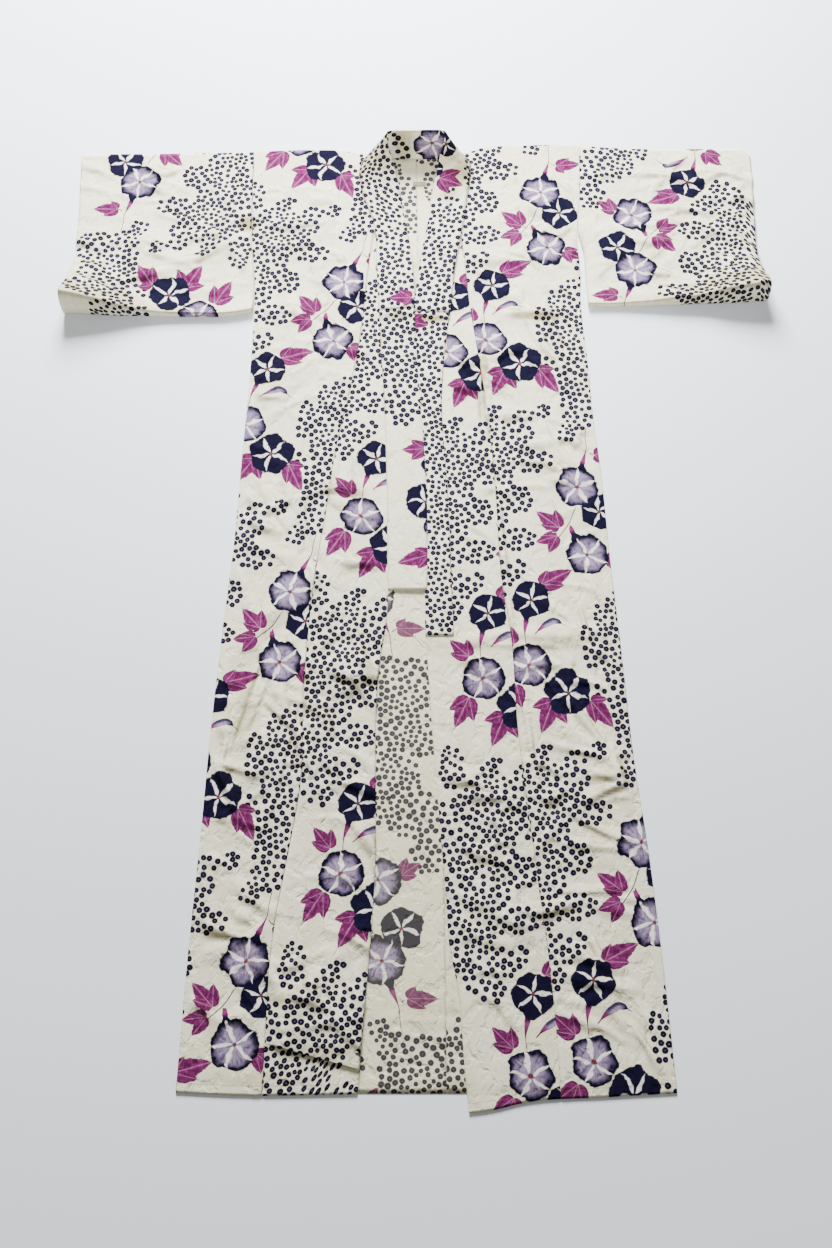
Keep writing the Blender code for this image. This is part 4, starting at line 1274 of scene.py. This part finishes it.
@dataclass(frozen=True)
class PaleFloor:
    """A plain pale floor."""

    name: str = "pale floor"
    colour: Colour = rgb(0.80, 0.82, 0.84)

    def material(self) -> bpy.types.Material:
        """Build the material."""
        made = bpy.data.materials.new(self.name)
        book = NodeBook(made)
        where = book.node("ShaderNodeTexCoord", {}, {}, "Object")
        cloudy = book.noise(where, 1.2, 2.0)
        colour = book.blend(cloudy * 0.12, self.colour, rgb(0.74, 0.76, 0.79))
        shader = book.node("ShaderNodeBsdfPrincipled", {}, {"Base Color": colour, "Roughness": 0.8})
        book.finish(shader)
        return made


@dataclass
class Cloth:
    """A sheet of cloth as a grid of points, with what its faces carry for the print.

    The chart holds each point's place on the printed length. The edges hold how far it is above the
    hem and from the seam, in centimetres.
    """

    points: Array
    chart: Array
    edges: Array
    flip: bool
    closed: bool = False
    chart_end: Union[Array, None] = None

    def build(self, name: str, pattern: Print, finishes: Sequence[bpy.types.Material],
              thickness: float) -> bpy.types.Object:
        """Make the mesh.

        Args:
            name: The object's name.
            pattern: The print that the cloth carries.
            finishes: The material of its face, then of its reverse.
            thickness: How thick the cloth is.

        Returns:
            The new object.
        """
        rows, columns = self.points.shape[:2]
        ids = np.arange(rows * columns).reshape(rows, columns)
        points = self.points.reshape(-1, 3)
        if self.closed:
            columns -= 1
            ids = np.arange(rows * columns).reshape(rows, columns)
            points = self.points[:, :-1].reshape(-1, 3)
            ids = np.hstack([ids, ids[:, :1]])
        order = self._corners(ids, ids[:, 1:])
        ends = self.chart[:, 1:] if self.chart_end is None else self.chart_end
        charts = self._corners(self.chart, ends)
        # The third value of the edges attribute is painted shade, with one real stain, for the beige tint.
        edges_shade_stain = np.concatenate([self.edges, self._age()[..., None]], axis=-1)
        edges = self._corners(edges_shade_stain, edges_shade_stain[:, 1:])
        mesh = bpy.data.meshes.new(name)
        mesh.from_pydata(points.tolist(), [], order.tolist())
        thick = pattern.thickness(charts)
        self._carry(mesh, "cloth", np.concatenate([charts, thick[..., None]], axis=-1))
        self._carry(mesh, "edges", edges)
        for layer, values in {**pattern.layers(charts), **pattern.dots(charts)}.items():
            self._carry(mesh, layer, values)
        mesh.polygons.foreach_set("use_smooth", np.ones(len(mesh.polygons), dtype=bool))
        mesh.update()
        made = bpy.data.objects.new(name, mesh)
        bpy.context.scene.collection.objects.link(made)
        for finish in finishes:
            mesh.materials.append(finish)
        wall = made.modifiers.new("thickness", "SOLIDIFY")
        wall.thickness = thickness
        wall.offset = 0.0
        wall.material_offset = 1
        wall.material_offset_rim = 0
        return made

    def _age(self) -> Array:
        """How strongly the beige tint darkens the cloth: painted shade on the steep sides of its creases,
        rolls and standing collar, and in the patches of painted shade and the one real stain.
        """
        normal = np.cross(np.gradient(self.points, axis=1), np.gradient(self.points, axis=0))
        normal /= np.maximum(np.linalg.norm(normal, axis=2, keepdims=True), 1e-12)
        steep = np.sqrt(np.maximum(1 - normal[..., 2] ** 2, 0.0))
        # Painted shade: a beige tint that grows with the cloth's steepness on the sides of creases, rolls and
        # the standing collar, and eases off where the cloth is near upright.
        shade_and_stain = 0.6 * smooth(0.08, 0.50, steep) * (1 - 0.6 * smooth(0.7, 0.95, steep))
        for mark in STAIN_AND_SHADE_PATCHES:
            shade_and_stain = np.maximum(shade_and_stain, mark.share(self.points))
        return shade_and_stain

    def _corners(self, starts: Array, ends: Array) -> Array:
        """The four corners of each face, from the values at the faces' two sides."""
        a, b = starts[:-1, :-1], starts[1:, :-1]
        columns = a.shape[1]
        c, d = ends[1:, :columns], ends[:-1, :columns]
        loop = [a, d, c, b] if self.flip else [a, b, c, d]
        stacked = np.stack(loop, axis=2)
        return stacked.reshape(-1, 4, *stacked.shape[3:])

    @staticmethod
    def _carry(mesh: bpy.types.Mesh, name: str, values: Array) -> None:
        """Give the mesh's face corners a vector each."""
        layer = mesh.attributes.new(name, "FLOAT_VECTOR", "CORNER")
        layer.data.foreach_set("vector", np.ascontiguousarray(values, dtype=np.float32).ravel())


@dataclass(frozen=True)
class Cut:
    """The cloth that a piece was cut from: its width and length in metres, and how it is held."""

    width: float
    length: float
    held: str
    rests_on: tuple[str, ...] = ()


def finish_piece(piece: bpy.types.Object, node: str, cut: Cut) -> None:
    """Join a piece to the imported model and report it.

    Args:
        piece: The new piece.
        node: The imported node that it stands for.
        cut: What it was cut from.
    """
    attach(piece, "root")
    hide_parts(node)
    list(cut.rests_on)
    LOG.info("%s stands for %s: %d points", piece.name, node, len(piece.data.vertices))


def spread(start: float, end: float, pitch: float) -> Array:
    """Even places from start to end, no further apart than the pitch."""
    count = max(int(math.ceil(abs(end - start) / pitch)), 1)
    return np.linspace(start, end, count + 1)


@dataclass
class BodyPanel:
    """One length of cloth: up the back, over the shoulder and down the front."""

    side: Side
    finishes: Sequence[bpy.types.Material]
    cut: Cut
    back_creases: tuple[Crease, ...] = ()
    wrap_columns: int = 4

    def _shares(self) -> Array:
        """How far across the back its columns lie."""
        flat = np.linspace(0, SIDE_SHARE, ACROSS_BODY + 1)
        bent = np.linspace(SIDE_SHARE, 1.0, BEND_STEPS + self.wrap_columns + 1)[1:]
        return np.concatenate([flat, bent])

    def _back(self, y: Array) -> tuple[Array, Array]:
        """The back's rows at places along the robe."""
        side = self.side
        inner = side.sign * CENTRE_BACK.at(y) + GAP / 2
        out = mix(inner, side.seam_at(y) - GAP, self._shares())
        return out, np.broadcast_to(y, out.shape)

    def _front(self, y: Array) -> tuple[Array, Array]:
        """The front's rows: across the top, round the side fold and along the underside.

        Args:
            y: Where the rows lie, as a column.

        Returns:
            Points, and the places that they had on the flat cloth.
        """
        side = self.side
        inner, fold = side.inner_edge(y), side.fold.at(y)
        curl = np.pi * smooth(ARMHOLE_END, ARMHOLE_END - CURL_RUN, y)
        strip = np.pi * BEND
        flat = strip - curl * BEND
        start = fold - flat - BEND * np.sin(np.minimum(curl, np.pi / 2))
        out = mix(inner, start, np.linspace(0, 1, ACROSS_BODY + 1))
        place = side.leaned(out, y)
        top = side.put(out, place, side.front_height(out, place) - self._seam_dip(out - inner))
        run = strip * np.arange(1, BEND_STEPS + 1) / BEND_STEPS
        angle = np.maximum(run - flat, 0.0) / BEND
        bend_out = start + np.minimum(run, flat) + BEND * np.sin(angle)
        bend_z = FRONT_LEVEL - BEND * (1 - np.cos(angle))
        place_end = np.broadcast_to(side.leaned(fold, y), bend_out.shape)
        bend = side.put(bend_out, place_end, bend_z)
        loose = y >= ARMHOLE_END - CURL_RUN
        end_out = np.where(loose, bend_out[:, -1:] + CURL_END * np.cos(curl), side.seam_at(y))
        end_z = np.where(loose, bend_z[:, -1:] - CURL_END * np.sin(curl), BACK_LEVEL)
        share = np.arange(1, self.wrap_columns + 1) / self.wrap_columns
        wrap_out = mix(bend_out[:, -1:], end_out, share)
        wrap = side.put(wrap_out, place_end[:, :1], mix(bend_z[:, -1:], end_z, share))
        wrapped = start + strip + np.abs(bend_out[:, -1:] - wrap_out)
        unrolled = np.hstack([out, start + run, wrapped])
        places = np.hstack([place, np.broadcast_to(place_end[:, :1], (len(y), BEND_STEPS + len(share)))])
        return np.concatenate([top, bend, wrap], axis=1), np.stack([unrolled, places], axis=-1)

    @staticmethod
    def _seam_dip(distance: Array) -> Array:
        """How far the cloth dips beside a seam, with a slight ridge over its allowance."""
        return 0.45 * MM * smooth(3 * MM, 0, distance) - 0.3 * MM * smooth(16 * MM, 9 * MM, distance)

    def build(self) -> bpy.types.Object:
        """Make the panel."""
        side = self.side
        top = float(side.shoulder.at(NECK_HALF)) - BEND
        shares = self._shares()
        out, place = self._back(spread(BACK_HEM, NECK_START, BACK_PITCH)[:, None])
        outs, places, heights = [out], [place], [self._back_height(out, place)]
        last_out, last_place = out[-1], place[-1]
        neck = float(side.inner_edge(top))
        for step in range(9):
            done = step / 8
            inner = mix(side.sign * CENTRE_BACK.at(NECK_EDGE) + GAP / 2, neck, done)
            inner_y = mix(NECK_EDGE, top, smooth(0.7, 1.0, done))
            outer_y = mix(NECK_START, top, (done * 4 + 1) / 5)
            outer = mix(side.seam_at(outer_y) - GAP, side.fold.at(outer_y), done)
            out = mix(inner, outer, shares)
            lean = (side.shoulder.at(out) - side.shoulder.at(NECK_HALF)) * done
            place = mix(inner_y, outer_y, shares) + lean
            if step == 0:
                for part in (0.2, 0.4, 0.6, 0.8):
                    outs.append(mix(last_out, out, part)[None])
                    places.append(mix(last_place, place, part)[None])
                    heights.append(np.full_like(outs[-1], BACK_LEVEL))
            outs.append(out[None])
            places.append(place[None])
            heights.append(np.full_like(outs[-1], BACK_LEVEL))
        out, place = np.vstack(outs), np.vstack(places)
        back = side.put(out, place, np.vstack(heights))
        back_chart = side.back_grain.chart(side.sign * out, place)
        angle = (np.pi * np.arange(1, BEND_STEPS) / BEND_STEPS)[:, None]
        out = mix(neck, side.fold.at(top), shares)[None]
        fold = side.shoulder.at(out)
        bend = side.put(out, fold - BEND + BEND * np.sin(angle), BACK_LEVEL + BEND * (1 - np.cos(angle)))
        bend_chart = side.front_grain.chart(side.sign * np.broadcast_to(out, bend.shape[:2]),
                                            np.broadcast_to(fold, bend.shape[:2]))
        y = spread(top, BACK_HEM, FINE)[:, None]
        front, unrolled = self._front(y)
        front_chart = side.front_grain.chart(side.sign * unrolled[..., 0], unrolled[..., 1])
        points = np.concatenate([back, bend, front])
        chart = np.concatenate([back_chart, bend_chart, front_chart])
        edges = np.full((*points.shape[:2], 2), WELL_AWAY)
        rows = len(front)
        edges[-rows:, :, 0] = (unrolled[..., 1] - side.hem.at(unrolled[..., 0])) / CM
        edges[:len(back), :, 0] = (back[..., 1] + MIDDLE_Y - BACK_HEM) / CM
        edges[-rows:, :, 1] = (unrolled[..., 0] - side.inner_edge(y)) / CM
        cloth = Cloth(points, chart, edges, flip=side.sign < 0)
        piece = cloth.build(f"body_{side.name}_cloth", SPRAYS, self.finishes, CLOTH)
        finish_piece(piece, f"body_panel_{side.name}", self.cut)
        return piece

    def _back_height(self, out: Array, y: Array) -> Array:
        """The back's height, which has wrinkles only where the open fronts leave it free."""
        free = smooth(7 * CM, 4 * CM, out) * smooth(-60 * CM, -64 * CM, y)
        return BACK_LEVEL + np.maximum(lift_of(self.back_creases, out, y), 0.0) * free


@dataclass
class Okumi:
    """The narrow gore between the front panel and the collar, the right one with a tuck."""

    side: Side
    finishes: Sequence[bpy.types.Material]
    cut: Cut

    @staticmethod
    def _tuck_line(share: Any) -> Any:
        """The lower edge of the tuck, from the seam to the front edge."""
        return mix(-73.6 * CM, -77.4 * CM, share)

    @staticmethod
    def _tuck(share: float) -> list[Pair]:
        """The tuck as distance below its edge and height: two bends that turn and lap more and more
        towards the front edge."""
        turn = math.pi * max(float(smooth(0.0, TUCK_TURNED, share)), TUCK_START)
        radius = math.pi * TUCK_BEND / turn
        lap = float(mix(TUCK_LEAST, TUCK_LAP, smooth(TUCK_TURNED, 1.0, share)))
        height = 2 * radius * (1 - math.cos(turn)) + lap * math.sin(turn)
        start = -radius * math.sin(min(turn, math.pi / 2))
        angles = [turn * k / 5 for k in range(6)]
        upper = [(start + radius * math.sin(a), height - radius * (1 - math.cos(a))) for a in angles]
        far = 2 * upper[-1][0] + lap * math.cos(turn)
        return upper + [(far - below, height - rise) for below, rise in reversed(upper)]

    def _inner(self, y: Array) -> Array:
        """The gore's inner edge: under the collar's seam, then its own front edge."""
        hidden = self.side.collar_seam.at(y) - ALLOWANCE
        if self.side is RIGHT:
            start, end = RIGHT.collar_end - 1 * CM, RIGHT.collar_end
        else:
            start, end = LEFT.collar_end + 6 * CM, 30 * CM
        return mix(self.side.front_edge.at(y), hidden, smooth(start, end, y))

    def _rows(self) -> tuple[Array, Array]:
        """Where each row's points lie along the robe, and how far the tuck raises them."""
        shares = np.linspace(0, 1, ACROSS_OKUMI + 1)
        if self.side is LEFT:
            y = spread(TIP, BACK_HEM, FINE)[:, None] + 0 * shares
            return y, np.zeros_like(y)
        y = spread(TIP, self._tuck_line(0) + TUCK_HALF, FINE)[:, None]
        near = smooth(-50 * CM, self._tuck_line(0) + TUCK_HALF, y)
        profiles = np.array([self._tuck(share) for share in shares])
        rise = profiles[None, :, 0, 1] * smooth(-60 * CM, self._tuck_line(0) + 4 * CM, y)
        y = y + (self._tuck_line(shares) - self._tuck_line(0)) * near
        tuck_y = (self._tuck_line(shares)[:, None] - profiles[..., 0]).T
        parts = np.linspace(0, 1, 16)[1:, None]
        below = mix(tuck_y[-1:], BACK_HEM, parts)
        return np.vstack([y, tuck_y, below]), np.vstack([rise, profiles[..., 1].T, np.zeros_like(below)])

    def build(self) -> bpy.types.Object:
        """Make the gore."""
        side = self.side
        shares = np.linspace(0, 1, ACROSS_OKUMI + 1)
        y, rise = self._rows()
        outer = side.okumi_seam.at(y) + SEAM_LAP
        out = mix(outer, self._inner(y), shares)
        place = side.leaned(out, y)
        dip = SEAM_SINK * smooth(SEAM_LAP + 2.5 * MM, SEAM_LAP, outer - out)
        hem = 0.25 * MM * smooth(16 * MM, 12 * MM, place - side.hem.at(out)) * (rise < LEAST_RISE)
        points = side.put(out, place, side.front_height(out, place) + rise - dip + hem)
        unrolled = place.copy()
        if side is RIGHT:
            tucked = np.linalg.norm(np.diff(points, axis=0), axis=-1)
            first = int(np.argmax(y[:, 0] <= self._tuck_line(0) + TUCK_HALF))
            unrolled[first:] = unrolled[first - 1] - np.cumsum(tucked[first - 1:], axis=0)
        chart = side.okumi_grain.chart(side.sign * out, unrolled)
        above_hem = (place - side.hem.at(out)) / CM + WELL_AWAY * (rise > LEAST_RISE)
        edges = np.stack([above_hem, (outer - out) / CM], axis=-1)
        cloth = Cloth(points, chart, edges, flip=side.sign > 0)
        piece = cloth.build(f"okumi_{side.name}_cloth", SPRAYS, self.finishes, CLOTH)
        finish_piece(piece, f"okumi_{side.name}", self.cut)
        return piece


@dataclass
class Sleeve:
    """The sleeve: a flat tube, its lower third turned under and rolled up at the wrist."""

    side: Side
    finishes: Sequence[bpy.types.Material]
    cut: Cut
    creases: tuple[Crease, ...] = ()

    def _path(self, out: float, creased: bool) -> Array:
        """The outer face in (y, height), from the top fold over the roll to the turned-under edge.

        Args:
            out: How far out from the centre line.
            creased: Whether the small creases are added.

        Returns:
            The path's points.
        """
        side = self.side
        top = float(side.shoulder.at(out)) - side.corner * float(smooth(60 * CM, 62.5 * CM, out))
        bottom, height = float(side.sleeve_bottom.at(out)), float(side.sleeve_height.at(out))
        crest = bottom + 0.33 * height
        reach = float(mix(4 * CM, 12 * CM, smooth(1 * CM, 5.5 * CM, height)))
        under = bottom + SLEEVE_UNDER
        foot = min(0.8 * CM, height / 3)
        y = np.linspace(top - BEND, crest + 0.4 * CM, 78)
        layers = FRONT_LEVEL + 2 * STEP * (1 - smooth(under + 0.8 * CM, under + 4 * CM, y))
        share = np.maximum(1 - (y - crest) / reach, 0.0)
        z = layers + (height - FRONT_LEVEL - 2 * STEP) * share ** 1.7
        if creased:
            free = smooth(0, 4 * CM, top - y) * smooth(-1 * CM, 3 * CM, y - crest)
            free = free * smooth(0, 3 * CM, out - side.fold.at(y))
            z = z + lift_of(self.creases, np.full_like(y, out), y) * free
        angles = np.pi / 2 * np.arange(9) / 8
        roll = np.column_stack([mix(crest, bottom, np.sin(angles)), mix(foot, height, np.cos(angles))])
        angles = np.pi / 2 * np.arange(1, 6) / 5
        heel = np.column_stack([bottom + foot * (1 - np.cos(angles)), mix(foot, BACK_LEVEL, np.sin(angles))])
        flat = np.array([(mix(bottom + foot, under, t), BACK_LEVEL) for t in np.linspace(0, 1, 19)[1:]])
        return np.vstack([np.column_stack([y, z]), roll, heel, flat])

    @staticmethod
    def _moved_in(path: Array, distance: float) -> Array:
        """A path moved to its right by a distance, as the inner layer lies in the outer one."""
        runs = np.diff(path, axis=0)
        runs /= np.linalg.norm(runs, axis=1)[:, None]
        turns = np.vstack([runs[:1], runs[:-1] + runs[1:], runs[-1:]])
        turns /= np.linalg.norm(turns, axis=1)[:, None]
        ahead = np.vstack([runs, runs[-1:]])
        reach = distance / np.maximum(np.abs(np.sum(turns * ahead, axis=1)), 0.5)
        return path + np.column_stack([-turns[:, 1], turns[:, 0]]) * reach[:, None]

    def _ring(self, out: float) -> tuple[Array, int]:
        """A closed ring round the sleeve, and how many of its points are on the outer face."""
        outer = self._path(out, creased=True)
        inner = self._moved_in(self._path(out, creased=False), STEP)[::-1][::3]
        arc = np.pi * np.arange(1, BEND_STEPS) / BEND_STEPS
        turn = np.column_stack([BEND * np.sin(arc), BEND * (1 - np.cos(arc))])
        return np.vstack([outer, outer[-1] + turn, inner, inner[-1] + turn, outer[:1]]), len(outer)

    def build(self) -> bpy.types.Object:
        """Make the sleeve."""
        side = self.side
        points, charts, ends = [], [], []
        for share in np.linspace(0, 1, ALONG_SLEEVE + 1):
            ring, outer = self._ring(float(mix(SLEEVE_START, SLEEVE_END, share)))
            start = np.maximum(side.fold.at(ring[:, 0]), side.sleeve_free.at(ring[:, 0])) + ARMHOLE_GAP
            out = mix(start, side.sleeve_end.at(ring[:, 0]), share)
            points.append(side.put(out, ring[:, 0], ring[:, 1]))
            run = np.concatenate([[0.0], np.cumsum(np.linalg.norm(np.diff(ring, axis=0), axis=1))])
            down = side.sleeve_grain.chart(side.sign * out, run)
            back = side.sleeve_grain.chart(side.sign * out, run - run[-1])
            first = np.arange(len(run)) < outer + 2
            charts.append(np.where(first[:, None], down, back))
            ends.append(np.where(first[:-1, None], down[1:], back[1:]))
        edges = np.full((len(points), len(points[0]), 2), WELL_AWAY)
        edges[..., 1] = np.linspace(0, SLEEVE_WIDTH / CM, len(points))[:, None]
        cloth = Cloth(np.array(points), np.array(charts), edges, flip=side.sign > 0, closed=True,
                      chart_end=np.array(ends))
        piece = cloth.build(f"sleeve_{side.name}_cloth", SPRAYS, self.finishes, CLOTH)
        finish_piece(piece, f"sleeve_{side.name}", self.cut)
        return piece


@dataclass
class Collar:
    """The collar band and the cover over its neck part."""

    band_finishes: Sequence[bpy.types.Material]
    cover_finishes: Sequence[bpy.types.Material]
    band_cut: Cut
    cover_cut: Cut
    neck_steps: int = 8

    def _sections(self) -> Array:
        """Sections from end to end: seam point, free point and the bow between them, as rows of 7."""
        halves = []
        for side in (RIGHT, LEFT):
            y = spread(side.collar_end, 67 * CM, 0.5 * CM)
            cover = smooth(side.cover_end - 2.5 * CM, side.cover_end - 0.5 * CM, y)
            seam, free = side.collar_seam.at(y), side.collar_free.at(y)
            base = side.front_height(seam, y, fine=False) + STEP + cover * COVER_STEP
            base = base + smooth(55 * CM, 67 * CM, y) * 0.1 * CM
            over = np.zeros_like(y)
            if side is RIGHT:
                over = mix(LAP_LIFT, COVER_LAP_LIFT, smooth(43.5 * CM, 46.5 * CM, y))
                over = over * (1 - smooth(56 * CM, 63 * CM, y))
            halves.append(np.hstack([side.put(seam, y, base),
                                     side.put(free, y + 0.3 * CM * cover, base + over),
                                     np.zeros((len(y), 1))]))
        neck = np.array(NECK) * CM
        neck[:, (0, 3)] -= MIDDLE_X
        neck[:, (1, 4)] -= MIDDLE_Y
        knots = np.vstack([halves[0][-11], halves[0][-1], neck, halves[1][-1], halves[1][-11]])
        return np.vstack([halves[0][:-1], self._eased(knots), halves[1][-2::-1]])

    def _eased(self, knots: Array) -> Array:
        """More sections on a smooth curve through the given ones, without the first and the last."""
        t = (np.arange(self.neck_steps) / self.neck_steps)[:, None]
        runs = []
        for a, b, c, d in zip(knots, knots[1:], knots[2:], knots[3:]):
            runs.append(((-t ** 3 + 2 * t * t - t) * a + (3 * t ** 3 - 5 * t * t + 2) * b
                         + (-3 * t ** 3 + 4 * t * t + t) * c + (t ** 3 - t * t) * d) / 2)
        return np.vstack([*runs, knots[-2:-1]])

    def _surface(self) -> Array:
        """The band's points, from its seam to its free edge."""
        sections = self._sections()
        seam, free, bow = sections[:, None, :3], sections[:, None, 3:6], sections[:, None, 6:]
        away = (seam + free) / 2 - np.array([0.0, 78 * CM, 0.0])
        away[..., 2] = 0.0
        away /= np.maximum(np.linalg.norm(away, axis=2, keepdims=True), 1e-9)
        lift = away * 0.5 + np.array([0.0, 0.0, 0.87])
        share = np.linspace(0, 1, ACROSS_COLLAR + 1)[None, :, None]
        points = mix(seam, free, share) + lift * bow * np.sin(np.pi * share)
        edge = np.maximum(smooth(0.07, 0.0, share), smooth(0.93, 1.0, share))
        return points - self._normals(points) * EDGE_DROP * edge

    @staticmethod
    def _normals(points: Array) -> Array:
        """The outward direction at each point of the band."""
        normal = np.cross(np.gradient(points, axis=1), np.gradient(points, axis=0))
        return normal / np.linalg.norm(normal, axis=2, keepdims=True)

    @staticmethod
    def _chart(points: Array) -> Array:
        """Distances across the band and along it, in centimetres."""
        middle = points[:, points.shape[1] // 2]
        along = np.concatenate([[0.0], np.cumsum(np.linalg.norm(np.diff(middle, axis=0), axis=1))])
        steps = np.linalg.norm(np.diff(points, axis=1), axis=2)
        across = np.concatenate([np.zeros((len(points), 1)), np.cumsum(steps, axis=1)], axis=1)
        along = np.broadcast_to(along[:, None], across.shape)
        return np.stack([across / CM - HALF_BAND, along / CM], axis=-1)

    def build(self) -> None:
        """Make the band and its cover."""
        points = self._surface()
        chart = self._chart(points)
        edges = np.full((*points.shape[:2], 2), WELL_AWAY)
        edges[..., 1] = chart[..., 0] + HALF_BAND
        band = Cloth(points, chart, edges, flip=True)
        piece = band.build("collar_band_cloth", BAND_PRINT, self.band_finishes, BAND)
        finish_piece(piece, "collar", self.band_cut)
        y = points[:, 0, 1] + MIDDLE_Y
        ends = np.where(points[:, 0, 0] < 0, RIGHT.cover_end, LEFT.cover_end)
        kept = y >= ends
        normal = self._normals(points)
        tip, up = points[:, -1], normal[:, -1]
        ahead = tip - points[:, -2]
        ahead -= up * np.sum(ahead * up, axis=1, keepdims=True)
        ahead /= np.linalg.norm(ahead, axis=1, keepdims=True)
        end_gap = np.abs(y - ends)[:, None, None]
        outer = points + normal * COVER_STEP * (0.5 + 0.5 * smooth(0.0, 0.9 * CM, end_gap))
        turn = [tip + (up * math.cos(a) + ahead * math.sin(a)) * COVER_STEP
                for a in np.pi * np.arange(1, BEND_STEPS + 1) / (BEND_STEPS + 1)]
        inner = (points - normal * COVER_STEP)[:, ::-1]
        wrapped = np.concatenate([outer, np.stack(turn, axis=1), inner], axis=1)[kept]
        chart = self._chart(wrapped)
        chart[..., 1] += self._chart(points)[kept][0, 0, 1]
        edges = np.full((*wrapped.shape[:2], 2), WELL_AWAY)
        cover = Cloth(wrapped, chart, edges, flip=True)
        piece = cover.build("collar_cover_cloth", BAND_PRINT, self.cover_finishes, CLOTH)
        finish_piece(piece, "collar_cover", self.cover_cut)


@dataclass
class NeckTag:
    """A small blank tag on the inside of the back, under the neck."""

    finish: bpy.types.Material
    length: float = 2.4 * CM
    width: float = 0.8 * CM
    middle: Pair = (0.6 * CM, 75.6 * CM)

    def build(self) -> bpy.types.Object:
        """Make the tag."""
        x = np.linspace(-0.5, 0.5, 25)[None, :] * self.length
        y = np.linspace(-0.5, 0.5, 9)[:, None] * self.width
        z = FRONT_LEVEL + 0.25 * MM * np.sin(x * 300) * np.cos(y * 260) + 0 * x
        points = np.stack(np.broadcast_arrays(x + self.middle[0] - MIDDLE_X,
                                              y + self.middle[1] - MIDDLE_Y, z), axis=-1)
        chart = np.stack(np.broadcast_arrays(x / CM, y / CM), axis=-1)
        cloth = Cloth(points, chart, np.full((*points.shape[:2], 2), WELL_AWAY), flip=True)
        piece = cloth.build("neck_tag_tape", BAND_PRINT, [self.finish, self.finish], CLOTH)
        finish_piece(piece, "neck_tag", Cut(0.01, 0.026, "laid"))
        return piece


@dataclass(frozen=True)
class Lamp:
    """A soft square light, slightly blue: its side, its power in watts and its beam in degrees."""

    name: str
    place: tuple[float, float, float]
    aim: tuple[float, float, float]
    size: float
    power: float
    beam: float = 180.0
    colour: tuple[float, float, float] = (0.94, 0.975, 1.03)

    def hang(self) -> None:
        """Add the light."""
        lamp = bpy.data.lights.new(self.name, "AREA")
        lamp.size, lamp.energy, lamp.color = self.size, self.power, self.colour
        lamp.spread = math.radians(self.beam)
        made = bpy.data.objects.new(self.name, lamp)
        made.location = self.place
        made.rotation_euler = (Vector(self.aim) - Vector(self.place)).to_track_quat("-Z", "Y").to_euler()
        bpy.context.scene.collection.objects.link(made)


@dataclass
class Studio:
    """The floor, the lights, the room's own light and the camera."""

    camera_place: tuple[float, float, float] = (-0.0015, -0.7251, 1.862)
    camera_tilt: float = 18.5
    lens: float = 35.0
    sensor_height: float = 36.0
    floor_half: float = 4.0
    lamps: tuple[Lamp, ...] = (
        Lamp("key", (-0.35, 2.9, 1.5), (0.0, 0.0, 0.0), 1.2, 590.0),
        Lamp("collar fill", (0.1, -0.9, 1.7), (0.0, 1.0, 0.0), 0.8, 6.0, 42.0),
    )
    room_colour: Colour = rgb(0.98, 0.98, 0.97)
    room_strength: float = 0.30

    def build(self) -> None:
        """Make them all."""
        self._floor()
        for lamp in self.lamps:
            lamp.hang()
        world = bpy.data.worlds.new("room")
        world.use_nodes = True
        back = world.node_tree.nodes["Background"]
        back.inputs["Color"].default_value = self.room_colour
        back.inputs["Strength"].default_value = self.room_strength
        bpy.context.scene.world = world
        self._camera()
        LOG.info("floor, lights and camera are in place")

    def _floor(self) -> None:
        """Lay the floor."""
        half = self.floor_half
        mesh = bpy.data.meshes.new("floor")
        mesh.from_pydata([(-half, -half, 0), (half, -half, 0), (half, half, 0), (-half, half, 0)], [],
                         [(0, 1, 2, 3)])
        floor = bpy.data.objects.new("floor", mesh)
        bpy.context.scene.collection.objects.link(floor)
        mesh.materials.append(PaleFloor().material())

    def _camera(self) -> None:
        """Place the camera where the photograph was taken from."""
        lens = bpy.data.cameras.new("camera")
        lens.lens = self.lens
        lens.sensor_fit = "VERTICAL"
        lens.sensor_height = self.sensor_height
        camera = bpy.data.objects.new("camera", lens)
        camera.location = self.camera_place
        camera.rotation_euler = (math.radians(self.camera_tilt), 0.0, 0.0)
        bpy.context.scene.collection.objects.link(camera)
        bpy.context.scene.camera = camera


def main() -> None:
    """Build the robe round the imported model.
    """
    logging.basicConfig(level=logging.INFO, format="%(name)s: %(message)s")
    Studio().build()
    face = PrintedCotton("printed cotton").material()
    inside = PrintedCotton("printed cotton reverse", reverse=True, tint=rgb(0.97, 0.955, 0.92)).material()
    collar = PrintedCotton("collar cotton").material()
    for side in (RIGHT, LEFT):
        creases = tuple(crease.mirrored(side.sign) for crease in HEM_CREASES)
        BodyPanel(side, (face, inside), Cut(0.31, 3.28, "laid"), creases).build()
        Okumi(side, (face, inside), Cut(0.13, 1.46, "laid", ("body_panel_" + side.name,))).build()
        sleeve_creases = tuple(Crumple(31 + side.sign, (31, 52), (61, 80), 70, 0.36, 10).creases())
        Sleeve(side, (face, inside), Cut(0.32, 1.0, "folded"), sleeve_creases).build()
    Collar((collar, inside), (collar, inside), Cut(0.062, 1.9, "laid", ("okumi_right", "okumi_left")),
           Cut(0.12, 0.8, "folded", ("collar",))).build()
    NeckTag(TagTape().material()).build()


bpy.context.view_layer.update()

if __name__ == "__main__":
    main()
